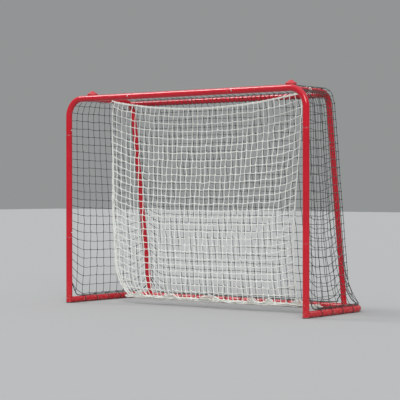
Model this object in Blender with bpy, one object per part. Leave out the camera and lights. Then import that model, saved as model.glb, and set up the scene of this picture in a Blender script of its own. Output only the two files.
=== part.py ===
"""Hockey goal of steel tube: rounded front frame, ground frame, two side stays, a drop net
hung inside the mouth and an outer net. Metres, +Z up, the goal's mouth faces -Y.
The frame comes apart at twelve sleeve joints, each locked by a spring button."""

import math

import bmesh
import bpy
from mathutils import Matrix, Vector

# Overall sizes
opening_width = 1.600
opening_height = 1.150
base_depth = 0.600
stay_corner_depth = 0.402
stay_spacing = 1.374

# Tubes
frame_od = 0.035
frame_wall = 0.0015
stay_od = 0.030
stay_wall = 0.0012
front_corner_radius = 0.100
rear_corner_radius = 0.100
stay_bend_radius = 0.080
frame_sides = 16
stay_sides = 12
bend_steps = 6

# Sleeve joints: the reduced end of one tube slips into the next one
gap = 0.0003
sleeve_length = 0.060
shoulder_length = 0.002
joint_half_width = 0.333
corner_leg_length = 0.1045
lower_joint_height = 0.377
stay_upper_joint_height = 0.879
stay_lower_joint_height = 0.262

# Spring buttons
button_setback = 0.027
button_diameter = 0.008
button_hole = 0.0086
button_proud = 0.0035
flange_diameter = 0.012
flange_thickness = 0.0012
leaf_thickness = 0.0008
leaf_width = 0.008

# Hand screws that hold the stays
socket_wall = 0.002
socket_reach = 0.105
screw_setback = 0.056
screw_diameter = 0.008
boss_diameter = 0.016
boss_height = 0.006
washer_diameter = 0.018
washer_thickness = 0.0016
knob_base_diameter = 0.056
knob_top_diameter = 0.018
knob_height = 0.022

# Nets and cords
net_thickness = 0.003
net_strand = 0.006
drop_net_setback = 0.200
drop_net_end_clearance = 0.0098
drop_rope_radius = 0.003
drop_rope_sag = 0.060
drop_fold_depth = 0.014
drop_spread_left = 0.018
drop_spread_right = 0.012
drop_waist_right = 0.058
drop_corner_left = 0.065
drop_corner_right = 0.017
bundle_radius = 0.012
bundle_height = 0.042
bundle_left_end = 0.586
bundle_right_end = 0.745
corner_sweep_right = 0.045
tie_cord_radius = 0.0025
tie_ring_radius = 0.022
tie_direction = math.radians(200)
eye_radius = 0.0065
eye_cord_radius = 0.002
border_rope_radius = 0.003

# Feet
cap_thickness = 0.004
cap_plug_height = 0.020

# Directions: across, to the rear, up
ex = Vector((1, 0, 0))
ey = Vector((0, 1, 0))
ez = Vector((0, 0, 1))

# Sizes that follow from those above
frame_radius = frame_od / 2
frame_bore = frame_radius - frame_wall
stay_radius = stay_od / 2
stay_bore = stay_radius - stay_wall
post_x = opening_width / 2 + frame_radius
bar_z = opening_height + frame_radius
base_z = frame_radius
upper_joint_height = bar_z - front_corner_radius - corner_leg_length
rear_y = base_depth - frame_od
stay_x = stay_spacing / 2
stay_corner = Vector((0, stay_corner_depth, bar_z))
stay_foot = Vector((0, rear_y, base_z))
leg_direction = (stay_foot - stay_corner).normalized()
leg_rear = Vector((0, -leg_direction.z, leg_direction.y))
mid_depth = (rear_y - button_proud) / 2

for old in list(bpy.data.objects):
    bpy.data.objects.remove(old, do_unlink=True)

goal = bpy.data.objects.new("goal_centre", None)
bpy.context.scene.collection.objects.link(goal)
goal.location = (0, -mid_depth, 0)


def material(name, colour, roughness, metallic=0.0):
    made = bpy.data.materials.new(name)
    made.use_nodes = True
    shader = made.node_tree.nodes["Principled BSDF"]
    shader.inputs["Base Color"].default_value = (*colour, 1)
    shader.inputs["Roughness"].default_value = roughness
    shader.inputs["Metallic"].default_value = metallic
    made.diffuse_color = (*colour, 1)
    return made


red_paint = material("red_paint", (0.62, 0.02, 0.03), 0.3)
zinc = material("zinc_steel", (0.72, 0.73, 0.74), 0.35, 1.0)
black_plastic = material("black_plastic", (0.02, 0.02, 0.02), 0.5)
red_plastic = material("red_plastic", (0.65, 0.03, 0.03), 0.4)
white_cord = material("white_cord", (0.85, 0.86, 0.82), 0.8)
dark_cord = material("dark_cord", (0.015, 0.025, 0.02), 0.8)


def node(name, verts, faces, paint, place=None, smooth=True):
    """One solid, from corner points and faces, placed in the goal."""
    mesh = bpy.data.meshes.new(name)
    work = bmesh.new()
    corners = [work.verts.new(v) for v in verts]
    for face in faces:
        work.faces.new([corners[i] for i in face])
    bmesh.ops.recalc_face_normals(work, faces=work.faces)
    work.to_mesh(mesh)
    work.free()
    obj = bpy.data.objects.new(name, mesh)
    bpy.context.scene.collection.objects.link(obj)
    obj.parent = goal
    if place is not None:
        obj.matrix_local = place
    if paint is not None:
        mesh.materials.append(paint)
    if smooth:
        mesh.shade_smooth()
        mesh.set_sharp_from_angle(angle=math.radians(35))
    return obj


def cutter(name, verts, faces, place=None):
    """A helper shape that cuts or adds to a solid and isn't shown itself."""
    obj = node(name, verts, faces, None, place, smooth=False)
    obj.hide_render = True
    obj.display_type = "WIRE"
    return obj


def boolean(obj, operation, other):
    step = obj.modifiers.new(f"{operation.lower()} {other.name}", "BOOLEAN")
    step.operation = operation
    step.solver = "EXACT"
    step.object = other


def rounded(points, radius=0.0, steps=bend_steps):
    """Stations (point, direction) along straight runs joined by arcs of one radius."""
    points = [Vector(p) for p in points]
    stations = [(points[0], (points[1] - points[0]).normalized())]
    for before, corner, after in zip(points, points[1:], points[2:]):
        d1 = (corner - before).normalized()
        d2 = (after - corner).normalized()
        turn = d1.angle(d2)
        start = corner - d1 * radius * math.tan(turn / 2)
        across = (d2 - d1 * d1.dot(d2)).normalized()
        for k in range(steps + 1):
            a = turn * k / steps
            point = start + d1 * radius * math.sin(a) + across * radius * (1 - math.cos(a))
            stations.append((point, d1 * math.cos(a) + across * math.sin(a)))
    stations.append((points[-1], (points[-1] - points[-2]).normalized()))
    return stations


def ring(point, direction, flat, radius, sides):
    """Points on a circle round a station, the first of them along flat."""
    other = direction.cross(flat)
    turns = [2 * math.pi * k / sides for k in range(sides)]
    return [point + (flat * math.cos(a) + other * math.sin(a)) * radius for a in turns]


def skin(rings, closed=False):
    """Quads between one ring of points and the next."""
    sides = len(rings[0])
    count = len(rings)
    faces = []
    for i in range(count if closed else count - 1):
        j = (i + 1) % count
        for k in range(sides):
            m = (k + 1) % sides
            faces.append((i * sides + k, i * sides + m, j * sides + m, j * sides + k))
    return faces


def pipe(name, stations, flat, origin, sides=frame_sides):
    """A tube open at both ends, from stations (point, direction, outer radius, bore radius)."""
    flat = Vector(flat)
    origin = Vector(origin)
    verts = []
    for bore in (False, True):
        for point, direction, outer, inner in stations:
            verts += ring(point - origin, direction, flat, inner if bore else outer, sides)
    count = len(stations)
    half = count * sides
    faces = []
    for i in range(count - 1):
        for k in range(sides):
            a = i * sides + k
            b = i * sides + (k + 1) % sides
            faces.append((a, b, b + sides, a + sides))
            faces.append((half + a, half + a + sides, half + b + sides, half + b))
    for start in (0, half - sides):
        for k in range(sides):
            a = start + k
            b = start + (k + 1) % sides
            faces.append((a, b, half + b, half + a))
    return node(name, verts, faces, red_paint, Matrix.Translation(origin))


def sleeved(path, outer, wall, first=False, last=False):
    """Stations of a tube, with its outer size reduced at the ends that slip into a neighbour."""
    bore = outer - wall
    slim = bore - gap
    stations = [(p, d, outer, bore) for p, d in path]
    if first:
        p, d = path[0]
        stations[0] = (p + d * shoulder_length, d, outer, bore)
        stations.insert(0, (p, d, slim, slim - wall))
        stations.insert(0, (p - d * sleeve_length, d, slim, slim - wall))
    if last:
        p, d = path[-1]
        stations[-1] = (p - d * shoulder_length, d, outer, bore)
        stations.append((p, d, slim, slim - wall))
        stations.append((p + d * sleeve_length, d, slim, slim - wall))
    return stations


def rod(points, radius, sides, closed=False):
    """Verts and faces of a solid cord along points, with its section carried round without twist."""
    points = [Vector(p) for p in points]
    count = len(points)
    rings = []
    flat = None
    for i, point in enumerate(points):
        before = points[i - 1] if closed or i else point
        after = points[(i + 1) % count] if closed or i < count - 1 else point
        direction = (after - before).normalized()
        if flat is None:
            flat = direction.orthogonal().normalized()
        flat = (flat - direction * flat.dot(direction)).normalized()
        rings.append(ring(point, direction, flat, radius, sides))
    faces = skin(rings, closed)
    if not closed:
        faces.append(tuple(range(sides)))
        faces.append(tuple(range((count - 1) * sides, count * sides)))
    return sum(rings, []), faces


def turned(profile, sides, closed=False, lobes=0, lobe_depth=0.0):
    """Verts and faces of a body of revolution round Z, from points (radius, height)."""
    rings = []
    for radius, height, *lobed in profile:
        points = []
        for k in range(sides):
            a = 2 * math.pi * k / sides
            r = radius * (1 + lobe_depth * math.cos(lobes * a)) if lobed else radius
            points.append(Vector((r * math.cos(a), r * math.sin(a), height)))
        rings.append(points)
    faces = skin(rings, closed)
    if not closed:
        faces.append(tuple(range(sides)))
        faces.append(tuple(range((len(rings) - 1) * sides, len(rings) * sides)))
    return sum(rings, []), faces


def ring_of_cord(centre, u, v, radius, cord, steps, sides):
    """Verts and faces of a closed cord ring in the plane of u and v."""
    turns = [2 * math.pi * k / steps for k in range(steps)]
    points = [centre + (u * math.cos(a) + v * math.sin(a)) * radius for a in turns]
    return rod(points, cord, sides, closed=True)


def facing(centre, outward, inward):
    """Placement with Z along outward and X along inward."""
    z = Vector(outward).normalized()
    x = Vector(inward).normalized()
    y = z.cross(x)
    turn = Matrix((x, y, z)).transposed().to_4x4()
    return Matrix.Translation(Vector(centre)) @ turn


def mirrored(vector, side):
    return Vector((vector[0] * side, vector[1], vector[2]))


# Upright and crosswise tubes of the front frame
sides_of = {"left": -1, "right": 1}
tubes = {}

crossbar_end = joint_half_width - gap
tubes["crossbar_middle"] = pipe(
    "crossbar_middle_tube",
    sleeved(
        rounded([(-crossbar_end, 0, bar_z), (crossbar_end, 0, bar_z)]),
        frame_radius,
        frame_wall,
        first=True,
        last=True,
    ),
    (0, 0, 1),
    (0, 0, bar_z),
)
tubes["base_rear"] = pipe(
    "base_rear_tube",
    sleeved(
        rounded([(-crossbar_end, rear_y, base_z), (crossbar_end, rear_y, base_z)]),
        frame_radius,
        frame_wall,
        first=True,
        last=True,
    ),
    (0, 0, 1),
    (0, rear_y, base_z),
)

# The ground tube and the crossbar are welded to what stands on them: each end is cut to the
# round of its neighbour, with the gap all round
front_cope = {}
socket_cope = cutter(
    "crossbar_round",
    *turned([(frame_radius + gap, -post_x), (frame_radius + gap, post_x)], 32),
    facing((0, 0, bar_z), (1, 0, 0), (0, 1, 0)),
)
foot_cope = cutter(
    "rear_bar_round",
    *turned([(frame_radius + gap, -post_x), (frame_radius + gap, post_x)], 32),
    facing((0, rear_y, base_z), (1, 0, 0), (0, 1, 0)),
)

for name, side in sides_of.items():
    x = post_x * side
    tubes["upper_corner", name] = pipe(
        f"upper_corner_tube_{name}",
        sleeved(
            rounded(
                [(x, 0, upper_joint_height + gap), (x, 0, bar_z), (joint_half_width * side, 0, bar_z)],
                front_corner_radius,
            ),
            frame_radius,
            frame_wall,
        ),
        (0, 1, 0),
        (x, 0, bar_z),
    )
    tubes["post", name] = pipe(
        f"post_tube_{name}",
        sleeved(
            rounded([(x, 0, lower_joint_height + gap), (x, 0, upper_joint_height)]),
            frame_radius,
            frame_wall,
            last=True,
        ),
        (0, 1, 0),
        (x, 0, lower_joint_height),
    )
    tubes["post_foot", name] = pipe(
        f"post_foot_tube_{name}",
        sleeved(
            rounded([(x, 0, cap_thickness + gap), (x, 0, lower_joint_height)]),
            frame_radius,
            frame_wall,
            last=True,
        ),
        (0, 1, 0),
        (x, 0, 0),
    )
    plug_radius = frame_bore - gap
    node(
        f"foot_cap_{name}",
        *turned(
            [
                (frame_radius, 0),
                (frame_radius, cap_thickness),
                (plug_radius, cap_thickness),
                (plug_radius, cap_plug_height),
            ],
            frame_sides,
        ),
        black_plastic,
        Matrix.Translation((x, 0, 0)),
    )
    tubes["base_corner", name] = pipe(
        f"base_corner_tube_{name}",
        sleeved(
            rounded(
                [(x, 0, base_z), (x, rear_y, base_z), (joint_half_width * side, rear_y, base_z)],
                rear_corner_radius,
            ),
            frame_radius,
            frame_wall,
        ),
        (0, 0, 1),
        (x, 0, base_z),
    )
    front_cope[name] = cutter(
        f"post_round_{name}",
        *turned([(frame_radius + gap, -0.05), (frame_radius + gap, 0.1)], 32),
        Matrix.Translation((x, 0, 0)),
    )
    boolean(tubes["base_corner", name], "DIFFERENCE", front_cope[name])

# Side stays: sleeve over a socket on the crossbar, bend down, lean back to the rear bar
boss_top = bar_z + stay_radius + boss_height
arm_start = frame_radius + 0.003


def on_leg(height):
    """Point on a stay's leg centre line at a height, in the plane of the stay."""
    return stay_corner + leg_direction * (stay_corner.z - height) / -leg_direction.z


bar_offset = stay_bend_radius * math.tan(Vector((0, 1, 0)).angle(leg_direction) / 2)
bend_start_y = stay_corner_depth - bar_offset
top_bar_past_bend = 0.045
top_bar_inset = 0.0012
top_bar_y = bend_start_y + top_bar_past_bend
top_bar_z = (
    bar_z - stay_bend_radius + math.sqrt((stay_bend_radius - top_bar_inset) ** 2 - top_bar_past_bend**2)
)
tenon_radius = 0.011
tenon_reach = 0.009

for name, side in sides_of.items():
    x = stay_x * side
    across = Vector((x, 0, 0))
    tubes["socket", name] = pipe(
        f"stay_socket_{name}",
        sleeved(
            rounded([(x, 0, bar_z), (x, socket_reach, bar_z)]),
            stay_bore - gap,
            socket_wall,
        ),
        (0, 0, 1),
        (x, 0, bar_z),
        stay_sides,
    )
    boolean(tubes["socket", name], "DIFFERENCE", socket_cope)
    bend_path = rounded(
        [
            (x, arm_start, bar_z),
            across + stay_corner,
            across + on_leg(stay_upper_joint_height + gap),
        ],
        stay_bend_radius,
    )
    tubes["stay_bend", name] = pipe(
        f"stay_bend_tube_{name}",
        sleeved(bend_path, stay_radius, stay_wall),
        (1, 0, 0),
        (x, 0, bar_z),
        stay_sides,
    )
    boss = cutter(
        f"boss_{name}",
        *turned([(boss_diameter / 2, bar_z + stay_bore - 0.003), (boss_diameter / 2, boss_top)], 16),
        Matrix.Translation((x, screw_setback, 0)),
    )
    boss_bore = cutter(
        f"boss_bore_{name}",
        *turned([(stay_bore, -0.02), (stay_bore, 0.02)], stay_sides),
        facing((x, screw_setback, bar_z), (0, 1, 0), (1, 0, 0)),
    )
    boolean(boss, "DIFFERENCE", boss_bore)
    screw_hole = cutter(
        f"screw_hole_{name}",
        *turned([(button_hole / 2, bar_z + 0.008), (button_hole / 2, boss_top + 0.01)], 16),
        Matrix.Translation((x, screw_setback, 0)),
    )
    tenon_hole = cutter(
        f"tenon_hole_{name}",
        *turned([(tenon_radius + gap, -0.02), (tenon_radius + gap, 0.0)], 24),
        facing((x, top_bar_y, top_bar_z), (side, 0, 0), (0, 1, 0)),
    )
    boolean(tubes["stay_bend", name], "UNION", boss)
    boolean(tubes["stay_bend", name], "DIFFERENCE", screw_hole)
    boolean(tubes["stay_bend", name], "DIFFERENCE", tenon_hole)
    tubes["stay_leg", name] = pipe(
        f"stay_leg_tube_{name}",
        sleeved(
            rounded(
                [
                    across + on_leg(stay_upper_joint_height),
                    across + on_leg(stay_lower_joint_height + gap),
                ]
            ),
            stay_radius,
            stay_wall,
            first=True,
        ),
        (1, 0, 0),
        across + on_leg(stay_upper_joint_height),
        stay_sides,
    )
    tubes["stay_foot", name] = pipe(
        f"stay_foot_tube_{name}",
        sleeved(
            rounded([across + on_leg(stay_lower_joint_height), across + stay_foot]),
            stay_radius,
            stay_wall,
            first=True,
        ),
        (1, 0, 0),
        across + stay_foot,
        stay_sides,
    )
    boolean(tubes["stay_foot", name], "DIFFERENCE", foot_cope)

# Bar between the stays at the top of the back: its slim ends plug into holes in the stays
bar_end = stay_x - stay_radius - gap
tenon_end = stay_x - tenon_reach
bar_profile = [
    (tenon_end, tenon_radius),
    (bar_end, tenon_radius),
    (bar_end - 0.001, stay_radius),
]
bar_stations = [
    (Vector((end * x, top_bar_y, top_bar_z)), ex, r, r - stay_wall)
    for end, half in ((-1, bar_profile), (1, bar_profile[::-1]))
    for x, r in half
]
pipe("rear_top_bar", bar_stations, ez, (0, top_bar_y, top_bar_z), stay_sides)


# Spring buttons: the head stands through both tube walls, its flange bears inside the sleeve
def strip(points, thickness, width):
    """Verts and faces of a bent flat strip, from its centre line in X and Z."""
    points = [Vector(p) for p in points]
    upper = []
    lower = []
    for i, point in enumerate(points):
        before = points[max(i - 1, 0)]
        after = points[min(i + 1, len(points) - 1)]
        d1 = (point - before).normalized() if i else (after - point).normalized()
        d2 = (after - point).normalized() if i < len(points) - 1 else d1
        normal = Vector((-(d1 + d2).y, (d1 + d2).x)).normalized()
        reach = thickness / 2 / max(normal.dot(Vector((-d1.y, d1.x))), 0.5)
        upper.append(point + normal * reach)
        lower.append(point - normal * reach)
    outline = upper + lower[::-1]
    count = len(outline)
    verts = [(p.x, -width / 2, p.y) for p in outline] + [(p.x, width / 2, p.y) for p in outline]
    faces = [(k, (k + 1) % count, count + (k + 1) % count, count + k) for k in range(count)]
    half = len(points)
    for k in range(half - 1):
        quad = (k, k + 1, count - 2 - k, count - 1 - k)
        faces.append(quad)
        faces.append(tuple(count + i for i in quad))
    return verts, faces


def sleeve_bore(outer, wall):
    """Clear radius inside the slim end of a tube, measured to its flats."""
    return (outer - 2 * wall - gap) * math.cos(math.pi / stay_sides)


def spring_button(name, centre, outward, inward, outer, wall, tubes_through):
    place = facing(centre, outward, inward)
    bore = sleeve_bore(outer, wall)
    flange_top = math.sqrt(bore**2 - (flange_diameter / 2) ** 2) - gap
    flange_base = flange_top - flange_thickness
    tip = outer + button_proud
    head = button_diameter / 2
    node(
        f"snap_button_{name}",
        *turned(
            [
                (flange_diameter / 2, flange_base),
                (flange_diameter / 2, flange_top),
                (head, flange_top),
                (head, tip - 0.0012),
                (head * 0.6, tip),
            ],
            12,
        ),
        zinc,
        place,
    )
    top = flange_base - gap - leaf_thickness / 2
    base = math.sqrt(bore**2 - (leaf_width / 2) ** 2) - gap - leaf_thickness / 2
    node(
        f"button_spring_{name}",
        *strip(
            [
                (-0.007, top),
                (0.007, top),
                (0.026, 0.0025),
                (0.0295, 0.0005),
                (0.0295, -0.0015),
                (0.026, -0.0035),
                (0.002, -base),
                (-0.007, -base),
            ],
            leaf_thickness,
            leaf_width,
        ),
        zinc,
        place,
    )
    hole = cutter(f"button_hole_{name}", *turned([(button_hole / 2, 0.005), (button_hole / 2, 0.03)], 12), place)
    for tube in tubes_through:
        boolean(tube, "DIFFERENCE", hole)


button_x = joint_half_width + button_setback
for name, side in sides_of.items():
    inner = (-side, 0, 0)
    leg = leg_direction
    spring_button(
        f"crossbar_{name}",
        (button_x * side, 0, bar_z),
        (0, -1, 0),
        inner,
        frame_radius,
        frame_wall,
        (tubes["crossbar_middle"], tubes["upper_corner", name]),
    )
    spring_button(
        f"post_upper_{name}",
        (post_x * side, 0, upper_joint_height + button_setback),
        inner,
        (0, 0, -1),
        frame_radius,
        frame_wall,
        (tubes["upper_corner", name], tubes["post", name]),
    )
    spring_button(
        f"post_lower_{name}",
        (post_x * side, 0, lower_joint_height + button_setback),
        inner,
        (0, 0, -1),
        frame_radius,
        frame_wall,
        (tubes["post", name], tubes["post_foot", name]),
    )
    spring_button(
        f"base_{name}",
        (button_x * side, rear_y, base_z),
        (0, -1, 0),
        inner,
        frame_radius,
        frame_wall,
        (tubes["base_rear"], tubes["base_corner", name]),
    )
    across = Vector((stay_x * side, 0, 0))
    spring_button(
        f"stay_upper_{name}",
        across + on_leg(stay_upper_joint_height) - leg * button_setback,
        -leg_rear,
        leg,
        stay_radius,
        stay_wall,
        (tubes["stay_bend", name], tubes["stay_leg", name]),
    )
    spring_button(
        f"stay_lower_{name}",
        across + on_leg(stay_lower_joint_height) - leg * button_setback,
        -leg_rear,
        leg,
        stay_radius,
        stay_wall,
        (tubes["stay_leg", name], tubes["stay_foot", name]),
    )

# Hand screws: the screw bears on the socket through the boss on the stay
screw_tip = bar_z + stay_bore
washer_base = boss_top + gap
knob_base = washer_base + washer_thickness + gap
for name, side in sides_of.items():
    place = Matrix.Translation((stay_x * side, screw_setback, 0))
    node(
        f"knob_washer_{name}",
        *turned(
            [
                (button_hole / 2, washer_base),
                (washer_diameter / 2, washer_base),
                (washer_diameter / 2, washer_base + washer_thickness),
                (button_hole / 2, washer_base + washer_thickness),
            ],
            16,
            closed=True,
        ),
        zinc,
        place,
    )
    base = knob_base_diameter / 2
    top = knob_top_diameter / 2
    node(
        f"hand_knob_{name}",
        *turned(
            [
                (screw_diameter / 2, screw_tip),
                (screw_diameter / 2, knob_base),
                (base * 0.5, knob_base),
                (base, knob_base + 0.003, True),
                (base, knob_base + 0.007, True),
                (top, knob_base + knob_height - 0.004, True),
                (top * 0.7, knob_base + knob_height),
            ],
            24,
            lobes=6,
            lobe_depth=0.05,
        ),
        red_plastic,
        place,
    )


# Nets: each panel is a plate with a gap between every two strands
def lattice(name, surface, across, up, size, paint, top_rows=0):
    """Solid net over surface(u, v), with across by up gaps, and size its width and height.
    top_rows bends the strands of the highest gap at that many more places."""

    def edges(count, length, extra):
        share = net_strand / length
        found = []
        strand = []
        for k in range(count + 1):
            start = (1 - share) * k / count
            found += [start, start + share]
            strand += [True, False]
            if k == count - 1:
                last_gap = (1 - share) - (start + share)
                for m in range(extra):
                    found.append(start + share + last_gap * (m + 1) / (extra + 1))
                    strand.append(False)
        return found, strand

    us, strand_u = edges(across, size[0], 0)
    vs, strand_v = edges(up, size[1], top_rows)
    wide = len(us)
    verts = []
    small = 1e-3
    for lift in (net_thickness / 2, -net_thickness / 2):
        for v in vs:
            for u in us:
                a = surface(min(u + small, 1), v) - surface(max(u - small, 0), v)
                b = surface(u, min(v + small, 1)) - surface(u, max(v - small, 0))
                verts.append(surface(u, v) + a.cross(b).normalized() * lift)
    back = wide * len(vs)
    filled = {
        (i, j) for i in range(wide - 1) for j in range(len(vs) - 1) if strand_u[i] or strand_v[j]
    }
    faces = []
    for i, j in sorted(filled):
        a = j * wide + i
        corners = (a, a + 1, a + 1 + wide, a + wide)
        faces.append(corners)
        faces.append(tuple(back + c for c in reversed(corners)))
        beside = ((i, j - 1), (i + 1, j), (i, j + 1), (i - 1, j))
        for k, other in enumerate(beside):
            if other not in filled:
                p = corners[k]
                q = corners[(k + 1) % 4]
                faces.append((q, p, back + p, back + q))
    centre = surface(0.5, 0.5)
    return node(name, [p - centre for p in verts], faces, paint, Matrix.Translation(centre), smooth=False)


def mix(a, b, t):
    return a + (b - a) * t


def smooth_step(t):
    t = min(max(t, 0), 1)
    return t * t * (3 - 2 * t)


# Drop net: a rope tied to the stays carries it, its lower edge is gathered in a bundle
arm_centre = Vector((stay_x, drop_net_setback, bar_z))
tie_way = Vector((math.cos(tie_direction), 0, math.sin(tie_direction)))
snug = stay_radius + 0.0005 + tie_cord_radius
tie_centre = arm_centre + tie_way * (tie_ring_radius - snug)
tie_bearing = tie_centre + tie_way * tie_ring_radius
eye_slack = eye_radius - eye_cord_radius - tie_cord_radius - 2.5 * gap
eye_centre = tie_bearing - ex * eye_slack
rope_end_x = eye_centre.x - eye_radius
drop_net_half_width = rope_end_x - drop_net_end_clearance


def rope_height(x):
    """Height of the top rope, which sags between its two ties."""
    return eye_centre.z - drop_rope_sag * (1 - (x / rope_end_x) ** 2)


def bundle_line(x):
    """Where the gathered lower edge lies: its right end is swept back."""
    sweep = corner_sweep_right * smooth_step((x / drop_net_half_width - 0.47) / 0.53)
    return Vector((x, drop_net_setback - bundle_radius / 2 + sweep, bundle_height))


def drop_edges(v):
    """The two side edges at a share v of the height: wide under the rope, drawn in below."""
    under_rope = 1 - smooth_step((v - 0.93) / 0.07)
    left = drop_net_half_width + drop_spread_left * under_rope * smooth_step((v - 0.15) / 0.3)
    left -= drop_corner_left * max(0, 1 - v / 0.13) ** 2
    wide = smooth_step((v - 0.15) / 0.85)
    right = drop_net_half_width + drop_spread_right * under_rope * wide - drop_waist_right * (1 - wide)
    right += drop_corner_right * max(0, 1 - v / 0.2) ** 2
    return -left, right


def drop_surface(u, v):
    x = mix(*drop_edges(v), u)
    top = rope_height(x) - drop_rope_radius - 0.0005
    low = bundle_line(x)
    sweep = (1 - v) ** 2
    fold = drop_fold_depth * math.sin(2 * math.pi * 5 * u) * (0.3 + 0.7 * (1 - v)) * math.sin(math.pi * min(v * 1.1, 1)) ** 0.5
    y = mix(drop_net_setback, low.y, sweep) + fold
    z = mix(low.z + bundle_radius + 0.0012, top, v)
    return Vector((x, y, z))


drop_height = bar_z - bundle_height - drop_rope_sag
lattice("drop_net", drop_surface, 12, 8, (2 * drop_net_half_width, drop_height), white_cord)

rope_points = [
    Vector((rope_end_x * (k / 8 - 1), drop_net_setback, rope_height(rope_end_x * (k / 8 - 1))))
    for k in range(17)
]
pivot = Vector((0, drop_net_setback, eye_centre.z))
verts, faces = rod(rope_points, drop_rope_radius, 6)
top_rope = node(
    "drop_net_top_rope",
    [v - pivot for v in verts],
    faces,
    white_cord,
    Matrix.Translation(pivot),
)
for name, side in sides_of.items():
    x_axis = Vector((side, 0, 0))
    eye = cutter(
        f"rope_eye_{name}",
        *ring_of_cord(
            mirrored(eye_centre, side) - pivot,
            x_axis,
            Vector((0, 1, 0)),
            eye_radius,
            eye_cord_radius,
            12,
            6,
        ),
        Matrix.Translation(pivot),
    )
    boolean(top_rope, "UNION", eye)
    centre = mirrored(tie_centre, side)
    node(
        f"drop_net_tie_{name}",
        *ring_of_cord(
            Vector((0, 0, 0)), x_axis, Vector((0, 0, 1)), tie_ring_radius, tie_cord_radius, 20, 6
        ),
        white_cord,
        Matrix.Translation(centre),
    )

bundle_points = [bundle_line(mix(-bundle_left_end, bundle_right_end, k / 16)) for k in range(17)]
bundle_middle = bundle_line(0)
verts, faces = rod(bundle_points, bundle_radius, 8)
node(
    "drop_net_bottom_rope",
    [v - bundle_middle for v in verts],
    faces,
    white_cord,
    Matrix.Translation(bundle_middle),
)

# Outer net: top, back and two sides, outside the stays, with a border rope near the ground
skin_offset = stay_radius + 0.0022
outer_half_width = stay_x + stay_radius + 0.010
rope_top_z = frame_od + border_rope_radius + 0.002
net_low_z = rope_top_z + 0.008
side_net_y = frame_radius + 0.0006
side_net_x = stay_x + stay_radius + 0.0075
border_lift = 0.075
arc_centre_y = rear_y - rear_corner_radius
arc_centre_x = post_x - rear_corner_radius
corner_turn = math.radians(45)
corner_point = Vector(
    (
        arc_centre_x + rear_corner_radius * math.sin(corner_turn),
        arc_centre_y + rear_corner_radius * math.cos(corner_turn),
        0,
    )
)


def along(points, t):
    """Point at share t of the length of a line of points."""
    lengths = [(b - a).length for a, b in zip(points, points[1:])]
    left = t * sum(lengths)
    for a, b, length in zip(points, points[1:], lengths):
        if left <= length or b is points[-1]:
            return mix(a, b, left / length)
        left -= length
    return points[-1]


def arc_points(centre, u, v, radius, first, last, steps):
    """Points on an arc, for angles first to last from u towards v."""
    turns = [mix(first, last, k / steps) for k in range(steps + 1)]
    return [centre + (u * math.cos(a) + v * math.sin(a)) * radius for a in turns]


leg_low = on_leg(0.118)
leg_top = stay_corner + leg_direction * bar_offset
bend_centre = Vector((0, bend_start_y, bar_z - stay_bend_radius))
bend_turn = math.pi / 2 - ey.angle(leg_direction)
front_edge = [Vector((post_x, side_net_y, 0.122))] + arc_points(
    Vector((post_x - front_corner_radius, side_net_y, bar_z - front_corner_radius)),
    ex,
    ez,
    front_corner_radius,
    0,
    math.pi / 2,
    8,
)
rear_edge = [
    Vector((side_net_x, p.y, p.z))
    for p in [leg_low]
    + arc_points(bend_centre, ey, ez, stay_bend_radius, bend_turn, math.pi / 2, 6)
]
low_edge = (
    [
        front_edge[0],
        Vector((post_x, side_net_y + 0.032, 0.082)),
        Vector((post_x, side_net_y + 0.080, net_low_z)),
        Vector((post_x, arc_centre_y, net_low_z)),
    ]
    + arc_points(
        Vector((arc_centre_x, arc_centre_y, net_low_z)), ex, ey, rear_corner_radius, 0.2, corner_turn, 3
    )
    + [rear_edge[0]]
)


def side_surface(side):
    def surface(u, v):
        across = mix(along(front_edge, v), along(rear_edge, v), u)
        dip = along(low_edge, u) - mix(front_edge[0], rear_edge[0], u)
        flare = (1 - v) ** 7
        return mirrored(across + Vector((dip.x * flare, dip.y * flare, dip.z * (1 - v) ** 3)), side)

    return surface


for name, side in sides_of.items():
    side_size = (rear_y - side_net_y, bar_z - net_low_z)
    lattice(f"outer_net_{name}", side_surface(side), 4, 7, side_size, dark_cord, top_rows=3)


def top_surface(u, v):
    x = mix(-outer_half_width, outer_half_width, u)
    return Vector((x, mix(frame_radius + 0.0045, bend_start_y - 0.002, v), bar_z + skin_offset))


lattice("outer_net_top", top_surface, 10, 3, (2 * outer_half_width, bend_start_y), dark_cord)

back_line = [bend_centre + Vector((0, 0.002, stay_bend_radius + skin_offset))]
back_line += arc_points(bend_centre, ey, ez, stay_bend_radius + skin_offset, 1.45, bend_turn, 6)
back_bottom = on_leg(net_low_z) + leg_rear * skin_offset
back_line.append(back_bottom)


def back_surface(u, v):
    x = mix(-outer_half_width, outer_half_width, u)
    lift = border_lift * (1 - smooth_step((stay_x - abs(x)) / 0.10))
    share = 1 - lift / (bar_z - net_low_z)
    point = along(back_line, share * (1 - v))
    return Vector((x, point.y, point.z))


back_size = (2 * outer_half_width, sum((b - a).length for a, b in zip(back_line, back_line[1:])))
lattice("outer_net_back", back_surface, 9, 8, back_size, dark_cord, top_rows=6)

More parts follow.
